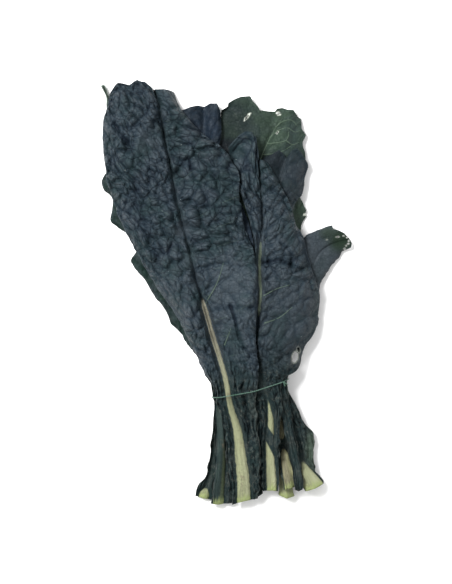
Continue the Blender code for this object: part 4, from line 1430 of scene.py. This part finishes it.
# The colour of the painted shade in deep pockets
POCKET_PAINTED_SHADE = (0.002, 0.004, 0.006)
WORN_GREEN = (0.010, 0.019, 0.012)
LOOKS = {
    "slate": Look(
        valley=(0.003, 0.006, 0.012),
        blade=(0.019, 0.031, 0.042),
        puff=(0.042, 0.056, 0.067),
        patch=(0.017, 0.034, 0.036),
    ),
    # The slate darkened as painted shade, for the shaded leaf at the upper edge
    "deep": Look(
        valley=(0.002, 0.004, 0.010),
        blade=(0.006, 0.012, 0.021),
        puff=(0.013, 0.022, 0.035),
        patch=(0.006, 0.013, 0.020),
    ),
    "dusky": Look(
        valley=(0.009, 0.013, 0.018),
        blade=(0.025, 0.035, 0.044),
        puff=(0.037, 0.048, 0.057),
        patch=(0.024, 0.035, 0.038),
    ),
    "green": Look(
        valley=(0.005, 0.011, 0.012),
        blade=(0.022, 0.040, 0.027),
        puff=(0.034, 0.055, 0.039),
        patch=(0.024, 0.038, 0.038),
        underside=(0.07, 0.10, 0.065),
        veins=0.35,
        bloom=0.15,
    ),
    "dark_green": Look(
        valley=(0.002, 0.006, 0.007),
        blade=(0.006, 0.017, 0.014),
        puff=(0.011, 0.027, 0.022),
        patch=(0.006, 0.014, 0.014),
        underside=(0.16, 0.20, 0.17),
    ),
}

print("looks:", sorted(LOOKS), "and rib tones:", sorted(RIB_TONES))

# %% The parts of the skin
VEIN_SPACING = 17.0
VEIN_LINE_SHARE = 0.035
FACET_SHAPE = (1 / 7.8, 1 / 9.6, 1.0)
FACET_LINE = 0.06
FIBRE_STRETCH = (1.0, 0.06, 1.0)
WING_STRETCH = (1.0, 0.5, 1.0)
WING_ENDS = 150.0
WING_IS_FULL = 105.0


def blade_color(skin, look, swell):
    """Valleys darkened as painted shade, bloomed puffs and slow changes of hue over the blade."""
    color = skin.mix(skin.between(swell, 0.0, 0.55), look.valley, look.blade)
    color = skin.mix(skin.between(swell, 0.5, 1.0), color, look.puff)
    color = skin.mix(skin.patches(30, 0.4, 0.65, most=0.65, detail=3), color, look.patch)
    bloom = skin.times(skin.patches(7, 0.42, 0.7, detail=4), swell)
    color = skin.mix(skin.times(bloom, look.bloom), color, BLOOM)
    mottle = skin.between(skin.noise(1.3, detail=4, roughness=0.7), 0.25, 0.75, 0.66, 0.94)
    shade = skin.add("ShaderNodeCombineColor", {"Red": mottle, "Green": mottle, "Blue": mottle})
    return skin.mix(1.0, color, shade.outputs[0], "MULTIPLY")


def facets(skin):
    """The finest puffs, too small for the mesh: the distance of each point from the nearest sharp crease."""
    slanting = {"X": skin.number("across_veins"), "Y": skin.number("along_veins")}
    place = skin.stretched(skin.add("ShaderNodeCombineXYZ", slanting).outputs[0], FACET_SHAPE)
    made = skin.add("ShaderNodeTexVoronoi", {"Vector": place, "Scale": 1.0}, feature="DISTANCE_TO_EDGE")
    return made.outputs["Distance"]


def on_wings(skin):
    """1 on the crumpled wings beside the stem, 0 on the blade."""
    return skin.between(skin.number("from_cut"), WING_ENDS, WING_IS_FULL)


def wing_color(skin, color):
    """The crumpled wings beside the stem are darker and greener, with painted shade in their valleys, and
    pale edges and scuffs.
    """
    on_wing = on_wings(skin)
    swell = skin.number("swell")
    wing = skin.mix(skin.between(swell, 0.2, 0.9), WING_PAINTED_SHADE, WING_GREEN)
    color = skin.mix(skin.times(on_wing, 0.75), color, wing)
    place = skin.stretched(skin.object_place, WING_STRETCH)
    grey = skin.patches(9, 0.45, 0.7, most=0.7, place=place, detail=5)
    color = skin.mix(skin.times(on_wing, skin.times(grey, swell)), color, WING_GREY)
    scuff = skin.patches(4.5, 0.53, 0.62, most=0.75, detail=6, roughness=0.85)
    edge = skin.fade(skin.number("from_margin"), 0.0, 1.4, most=0.6)
    return skin.mix(skin.times(skin.math("MAXIMUM", scuff, edge), on_wing), color, WING_SCUFF)


def side_vein_lines(skin):
    """Thin lines that leave the rib at a slant, as the folds between the side veins do."""
    place = skin.math("DIVIDE", skin.number("across_veins"), VEIN_SPACING)
    from_line = skin.math("ABSOLUTE", skin.math("SUBTRACT", skin.math("FRACT", place), 0.5))
    return skin.fade(from_line, 0.0, VEIN_LINE_SHARE)


def speck_dots(skin):
    """A few small pale dots, in about one cell of five."""
    cells = skin.cells(11)
    chosen = skin.add("ShaderNodeSeparateColor", {"Color": cells["Color"]}).outputs[0]
    dot = skin.times(skin.fade(cells["Distance"], 0.03, 0.045), skin.math("GREATER_THAN", chosen, 0.8))
    return skin.times(dot, 0.8)


def rib_color(skin, fibres, tone):
    """Fibrous streaks, a few bruises, a light side, and a duller tone far from the cut end."""
    color = skin.mix(skin.between(fibres, 0.4, 0.8), tone.body, tone.streak)
    color = skin.mix(skin.between(fibres, 0.45, 0.2, 0.0, 0.7), color, tone.light)
    to_right = skin.add("ShaderNodeSeparateXYZ", {"Vector": skin.vector("grown")}).outputs[0]
    from_cut = skin.number("from_cut")
    near_end = skin.between(from_cut, 75.0, 35.0, 0.0, 0.75)
    color = skin.mix(skin.times(skin.between(to_right, 0.0, 3 * MM), near_end), color, tone.light)
    color = skin.mix(skin.patches(11, 0.56, 0.75, most=0.6, detail=4), color, RIB_BRUISE)
    color = skin.mix(skin.between(from_cut, 70.0, 180.0, 0.0, 0.92), color, tone.far)
    edge_of_cut = skin.math("ADD", from_cut, skin.between(fibres, 0.2, 0.8, -4.0, 4.0))
    return skin.mix(skin.fade(edge_of_cut, 1.0, 9.0, most=0.9), color, CUT_GREEN)


def rib_shown(skin):
    """1 where the open rib is seen, with a ragged edge."""
    ragged = skin.math("ADD", skin.number("off_rib"), skin.between(skin.noise(6), 0.2, 0.8, -0.4, 0.4))
    return skin.times(skin.fade(ragged, -0.4, 0.5), skin.between(skin.number("rib_seen"), 0.1, 0.45))


# %% The whole skin of a leaf
def leaf_skin(name, look, tone):
    skin = Skin(name)
    puffy = skin.number("blistered")
    facet = facets(skin)
    net = skin.fade(skin.cells(3.4, "DISTANCE_TO_EDGE")["Distance"], 0.0, 0.09)
    place = skin.stretched(skin.vector("grown"), FIBRE_STRETCH)
    fibres = skin.noise(1.6, place, detail=4, roughness=0.7)
    rib_here = rib_shown(skin)

    color = blade_color(skin, look, skin.number("swell"))
    lines_here = skin.patches(22, 0.48, 0.66, most=look.veins)
    color = skin.mix(skin.times(side_vein_lines(skin), lines_here), color, VEIN_PALE)
    # Dark lines along the fine cell edges and the facet creases are painted shade
    color = skin.mix(skin.times(net, 0.2), color, look.valley)
    color = skin.mix(skin.times(skin.fade(facet, 0.0, FACET_LINE, most=0.55), puffy), color, look.valley)
    # Painted shade in the pockets where the leaf lies deep under other leaves
    color = skin.mix(skin.number("dark_spot"), color, POCKET_PAINTED_SHADE)
    color = skin.mix(speck_dots(skin), color, SPECK)
    color = skin.mix(skin.fade(skin.number("from_margin"), 0.0, 1.3, most=0.2), color, BLOOM)
    color = skin.mix(skin.times(skin.number("underside"), 0.7), color, look.underside)
    color = skin.mix(skin.number("vein_color"), color, VEIN_PALE)
    color = wing_color(skin, color)
    color = skin.mix(skin.number("pale_spot"), color, look.underside)
    color = skin.mix(skin.number("worn_spot"), color, WORN_GREEN)
    # The near-white rim round the holes is dry tissue and painted light seen through the hole
    color = skin.mix(skin.number("papery"), color, PAPERY_AND_PAINTED_LIGHT)
    color = skin.mix(rib_here, color, rib_color(skin, fibres, tone))

    domed = skin.math("POWER", skin.math("MINIMUM", skin.times(facet, 2.4), 1.0), 0.65)
    rough_wing = skin.times(skin.noise(2.4, detail=5, roughness=0.75), on_wings(skin))
    normal = skin.bump(skin.noise(0.9, detail=3), 0.12)
    normal = skin.bump(net, -0.25, normal)
    normal = skin.bump(rough_wing, 2.4, normal)
    normal = skin.bump(skin.times(domed, puffy), 1.8, normal)
    normal = skin.bump(skin.noise(2.6, detail=4, roughness=0.6), 0.22, normal)
    normal = skin.bump(skin.times(fibres, rib_here), 0.4, normal)
    skin.shader.inputs["Specular IOR Level"].default_value = 0.1
    return skin.finish(color, skin.between(skin.noise(4, detail=3), 0.3, 0.7, 0.5, 0.7), normal)


# %% [markdown]
# ## Making each leaf
# The laid grid becomes a mesh of small four-sided faces. Faces inside a worn hole are left out, and the tree
# closes the sides of the hole by itself. The distances go along as stored values.

# %% Holes, veins and calm places
VEIN_RADIUS = 0.55
VEIN_TAPER = 0.6
VEIN_STEP = 2.0
CROSSING_HEIGHT = 2.0
# What a side vein's points store; all other values are 0 there
VEIN_VALUES = {"vein_color": 0.7, "swell": 1.0, "off_rib": 9.0, "from_margin": 9.0, "from_cut": 400.0}


def from_holes(leaf, xy):
    """The distance from the nearest worn hole, in hole sizes: 1 is the hole's rim."""
    nearest = np.full(xy.shape[:-1], 9.0)
    for x, y, half_width, half_length, turn in leaf.holes:
        angle = math.radians(turn)
        dx, dy = xy[..., 0] - x, xy[..., 1] - y
        across = dx * math.cos(angle) + dy * math.sin(angle)
        along = dy * math.cos(angle) - dx * math.sin(angle)
        nearest = np.minimum(nearest, np.hypot(across / half_width, along / half_length))
    return nearest


def vein_points(laid, line):
    """A side vein drawn from above, laid on the leaf's upper face."""
    line = np.asarray(line, float)
    length = lengths_along(line)
    at = np.linspace(0, length[-1], int(length[-1] / VEIN_STEP) + 2)
    xy = smooth_curve(length, line, at)
    flat = laid.plan.xy.reshape(-1, 2)
    nearest = [np.argmin(((flat - point) ** 2).sum(axis=1)) for point in xy]
    z = laid.top.ravel()[nearest]
    radius = VEIN_RADIUS * (1 - VEIN_TAPER * at / length[-1])
    return np.column_stack([xy, z]), radius


def blistered(leaf, plan):
    """How strongly the blade puffs up at each point, for the finest facets in the skin."""
    calm = 1 - near_spots(leaf.calm_spots, plan.xy)
    on_blade = smoothstep(0.2, 0.45, plan.down_leaf / plan.length)
    return min(leaf.blister, 1.0) * calm * smoothstep(0.5, 4, plan.beside_rib) * on_blade


def crossed(leaf, xy):
    """1 where a wing of the blade lies across the rib."""
    ridges = sum(fold_height((line, CROSSING_HEIGHT, width), xy) for line, width in leaf.crossings)
    return np.clip(ridges, 0, 1)


# %% The sheet with its stored values
def stored_values(laid):
    """Each stored value at each grid point. Lengths are in millimetres, and only the depth is in metres."""
    leaf, plan = laid.leaf, laid.plan
    nothing = np.zeros(plan.from_rib.shape)
    across_veins, along_veins = vein_place(leaf, plan)
    return {
        "depth": (laid.top - laid.bottom) * MM,
        "across_veins": across_veins,
        "along_veins": along_veins,
        "blistered": blistered(leaf, plan),
        "dark_spot": near_spots(leaf.painted_shade_spots, plan.xy),
        "pale_spot": near_spots(leaf.pale_spots, plan.xy),
        "worn_spot": near_spots(leaf.worn_spots, plan.xy),
        "papery": smoothstep(1.45, 1.1, from_holes(leaf, plan.xy)) * leaf.papery,
        "swell": laid.swell,
        "off_rib": plan.beside_rib,
        "rib_seen": nothing + plan.seen[:, None] * (1 - crossed(leaf, plan.xy)),
        "from_margin": plan.from_margin,
        "from_cut": nothing + plan.down_leaf,
        "underside": nothing,
        "vein_color": nothing,
        "vein_radius": nothing,
    }


def sheet_faces(laid):
    """The grid's four-sided faces, without those inside a worn hole."""
    xy = laid.plan.xy
    rows, columns = laid.top.shape
    index = np.arange(rows * columns).reshape(rows, columns)
    quads = np.stack([index[:-1, :-1], index[:-1, 1:], index[1:, 1:], index[1:, :-1]], axis=-1)
    centres = 0.25 * sum(xy[i : rows - 1 + i, j : columns - 1 + j] for i in (0, 1) for j in (0, 1))
    return quads[from_holes(laid.leaf, centres) > 1].reshape(-1, 4)


def sheet_object(laid):
    plan = laid.plan
    points = np.dstack([plan.xy, laid.top]).reshape(-1, 3)
    values = {name: grid.ravel() for name, grid in stored_values(laid).items()}
    signed = plan.by_side((-1.0, 1.0)) * plan.from_rib
    grown = np.dstack([signed, plan.down_leaf + 0 * signed, 0 * signed]).reshape(-1, 3) * MM
    edges = []
    blade_points = len(points)
    for line in laid.leaf.veins:
        path, radius = vein_points(laid, line)
        first = len(points)
        edges += [(first + i, first + i + 1) for i in range(len(path) - 1)]
        points = np.concatenate([points, path])
        grown = np.concatenate([grown, path * MM])
        for name, grid in values.items():
            value = radius * MM if name == "vein_radius" else np.full(len(path), VEIN_VALUES.get(name, 0.0))
            values[name] = np.concatenate([grid, value])
    mesh = bpy.data.meshes.new(laid.leaf.name)
    mesh.from_pydata((points * MM).tolist(), edges, sheet_faces(laid).tolist())
    for name, grid in values.items():
        mesh.attributes.new(name, "FLOAT", "POINT").data.foreach_set("value", grid.astype(np.float32))
    is_vein = np.arange(len(points)) >= blade_points
    mesh.attributes.new("is_vein", "BOOLEAN", "POINT").data.foreach_set("value", is_vein)
    mesh.attributes.new("grown", "FLOAT_VECTOR", "POINT").data.foreach_set("vector", grown.ravel())
    return placed(laid.leaf.name + "_sheet", mesh)


# %% All nine leaves
JOIN_WITHIN = 0.01 * MM
VEIN_SIDES = 6

for laid in laid_leaves:
    sheet = sheet_object(laid)
    skin = leaf_skin(laid.leaf.name + "_skin", LOOKS[laid.leaf.finish], RIB_TONES[laid.leaf.rib_tone])
    mesh = run_tree(sheet, body_tree, {"Join Within": JOIN_WITHIN, "Vein Sides": VEIN_SIDES, "Finish": skin})
    bpy.data.objects.remove(sheet)
    piece = placed(laid.leaf.name + "_grown", mesh)
    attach(piece, "root")
    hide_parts(laid.leaf.name)
    print(piece.name, len(mesh.polygons), "faces")

# %% [markdown]
# ## The tie
# The bunch is held by one thin twisted strand, pulled tight round the stems. Its path is the outline that a
# tight string would take round all the points near it. The tree sweeps two round plies along the path and
# turns them as they go, which is how a real strand is laid.

# %% The strand's path
STRAND_NEAR = 2.5
STRAND_SLACK = 0.1
DEGREES_PER_POINT = 3
LOOSE_END_LENGTH = 6.0
LOOSE_END_WAYS = ((0.75, -0.45, 0.5), (0.25, -0.7, 0.65))


def strand_path(points):
    """The closed line of a strand pulled tight round all the points near it."""
    near = points[np.abs(points[:, 1] - strand_line(points[:, 0])) < STRAND_NEAR]
    section = near[:, [0, 2]]
    angles = np.radians(np.arange(0, 360, DEGREES_PER_POINT))
    outward = np.column_stack([np.cos(angles), np.sin(angles)])
    loop = section[np.argmax(section @ outward.T, axis=0)] + (STRAND_RADIUS + STRAND_SLACK) * outward
    return np.column_stack([loop[:, 0], strand_line(loop[:, 0]), np.maximum(loop[:, 1], STRAND_RADIUS)])


def path_object(name, paths):
    """Curves through the given points, the first of them closed."""
    curve = bpy.data.curves.new(name, "CURVE")
    curve.dimensions = "3D"
    for number, path in enumerate(paths):
        spline = curve.splines.new("POLY")
        spline.points.add(len(path) - 1)
        for point, place in zip(spline.points, path):
            point.co = (*(place * MM), 1.0)
        spline.use_cyclic_u = number == 0
    return placed(name, curve)


loop = strand_path(np.concatenate([part for laid in laid_leaves for part in laid.samples]))
knot = loop[np.argmax(loop[:, 0] + loop[:, 2])]
reach = np.array([0.0, 0.5, 1.0])[:, None] * LOOSE_END_LENGTH
loose_ends = [knot + reach * np.array(way) for way in LOOSE_END_WAYS]
print("strand length", round(float(lengths_along(np.vstack([loop, loop[:1]]))[-1])), "mm")

# %% The twisted strand
PLY_RADIUS = 0.28 * MM
PLY_OFFSET = 0.8
PLY_SIDES = 8
TWIST_LENGTH = 4 * MM
STRAND_STEP = 0.6 * MM
STRAND_DARK = (0.045, 0.105, 0.075)
STRAND_LIGHT = (0.10, 0.17, 0.135)
STRAND_STAIN = (0.03, 0.09, 0.05)


def strand_tree():
    kit = ShapeKit(
        "twisted_strand",
        {
            "Path": "NodeSocketGeometry",
            "Ply Radius": "NodeSocketFloat",
            "Twist Length": "NodeSocketFloat",
            "Step": "NodeSocketFloat",
            "Finish": "NodeSocketMaterial",
        },
    )
    radius = kit.given["Ply Radius"]
    steps = {"Curve": kit.given["Path"], "Length": kit.given["Step"]}
    even = kit.shape("GeometryNodeResampleCurve", steps, mode="LENGTH")
    share = kit.add("GeometryNodeSplineParameter").outputs["Factor"]
    length = kit.add("GeometryNodeSplineLength").outputs["Length"]
    turns = kit.math("ROUND", kit.math("DIVIDE", length, kit.given["Twist Length"]))
    tilt = kit.times(kit.times(turns, share), 2 * math.pi)
    turned = kit.shape("GeometryNodeSetCurveTilt", {"Curve": even, "Tilt": tilt})
    ring = kit.ring(PLY_SIDES, radius)
    plies = []
    for sign in (-1, 1):
        offset = kit.shape("ShaderNodeCombineXYZ", {"X": kit.times(radius, sign * PLY_OFFSET)})
        plies.append(kit.shape("GeometryNodeTransform", {"Geometry": ring, "Translation": offset}))
    sweep = {"Curve": turned, "Profile Curve": kit.joined(*plies), "Fill Caps": True}
    return kit.finish(kit.shape("GeometryNodeCurveToMesh", sweep))


def strand_skin():
    """A pale green strand with lighter worn fibres."""
    skin = Skin("strand_skin")
    wear = skin.noise(1.2, detail=4)
    color = skin.mix(skin.between(wear, 0.35, 0.7), STRAND_DARK, STRAND_LIGHT)
    color = skin.mix(skin.patches(9, 0.5, 0.7, most=0.6), color, STRAND_STAIN)
    return skin.finish(color, skin.between(wear, 0.3, 0.7, 0.4, 0.6), skin.bump(skin.noise(0.3), 0.05))


path = path_object("strand_path", [loop, *loose_ends])
sizes = {"Ply Radius": PLY_RADIUS, "Twist Length": TWIST_LENGTH, "Step": STRAND_STEP}
strand_mesh = run_tree(path, strand_tree(), {**sizes, "Finish": strand_skin()})
bpy.data.objects.remove(path)
strand = placed("tie_strand", strand_mesh)
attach(strand, "root")
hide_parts("tie")
print(strand.name, len(strand_mesh.polygons), "faces")

# %% [markdown]
# ## The studio
# The bunch lies on a plain white table and is seen from straight above. One large lamp at the upper left
# gives soft shadows to the right, and a pale surrounding fills the rest.

# %% Floor, lights and camera
CAMERA_HEIGHT = 2.2
CAMERA_FORWARD = 0.001
SENSOR_WIDTH = 36.0
FRAME_HEIGHT = 0.584
MIDDLE_OF_BUNCH = 0.025
FLOOR_HALF = 3.0
FLOOR_TONES = ((0.94, 0.94, 0.94), (0.96, 0.96, 0.96))
LAMP_PLACE = (-0.75, 0.6, 1.5)
LAMP_SIZE = 0.6
LAMP_POWER = 54
SURROUNDINGS = 0.92


def white_floor():
    mesh = bpy.data.meshes.new("floor")
    corners = [(x * FLOOR_HALF, y * FLOOR_HALF, 0) for x, y in ((-1, -1), (1, -1), (1, 1), (-1, 1))]
    mesh.from_pydata(corners, [], [(0, 1, 2, 3)])
    floor = placed("floor", mesh)
    skin = Skin("floor_white")
    skin.feed(skin.shader.inputs["Base Color"], skin.mix(skin.noise(400), *FLOOR_TONES))
    skin.shader.inputs["Roughness"].default_value = 0.9
    mesh.materials.append(skin.material)


def add_lamp(name, place, size, power):
    """A square lamp that points at the origin."""
    lamp = bpy.data.lights.new(name, "AREA")
    lamp.size = size
    lamp.energy = power
    obj = placed(name, lamp)
    obj.location = place
    x, y, z = place
    obj.rotation_euler = (math.atan2(math.hypot(x, y), z), 0, math.atan2(-y, -x) - math.pi / 2)


def add_camera():
    data = bpy.data.cameras.new("camera")
    data.sensor_fit = "AUTO"
    data.sensor_width = SENSOR_WIDTH
    data.lens = SENSOR_WIDTH * (CAMERA_HEIGHT - MIDDLE_OF_BUNCH) / FRAME_HEIGHT
    camera = placed("camera", data)
    camera.location = (0.0, CAMERA_FORWARD, CAMERA_HEIGHT)
    bpy.context.scene.camera = camera


def pale_surroundings(strength):
    world = bpy.data.worlds.new("surroundings")
    world.use_nodes = True
    background = world.node_tree.nodes["Background"]
    background.inputs["Color"].default_value = (1.0, 1.0, 1.0, 1.0)
    background.inputs["Strength"].default_value = strength
    bpy.context.scene.world = world


white_floor()
add_lamp("key", LAMP_PLACE, LAMP_SIZE, LAMP_POWER)
pale_surroundings(SURROUNDINGS)
add_camera()
bpy.context.scene.view_settings.view_transform = "Standard"
print("camera lens", round(bpy.context.scene.camera.data.lens, 1), "mm")
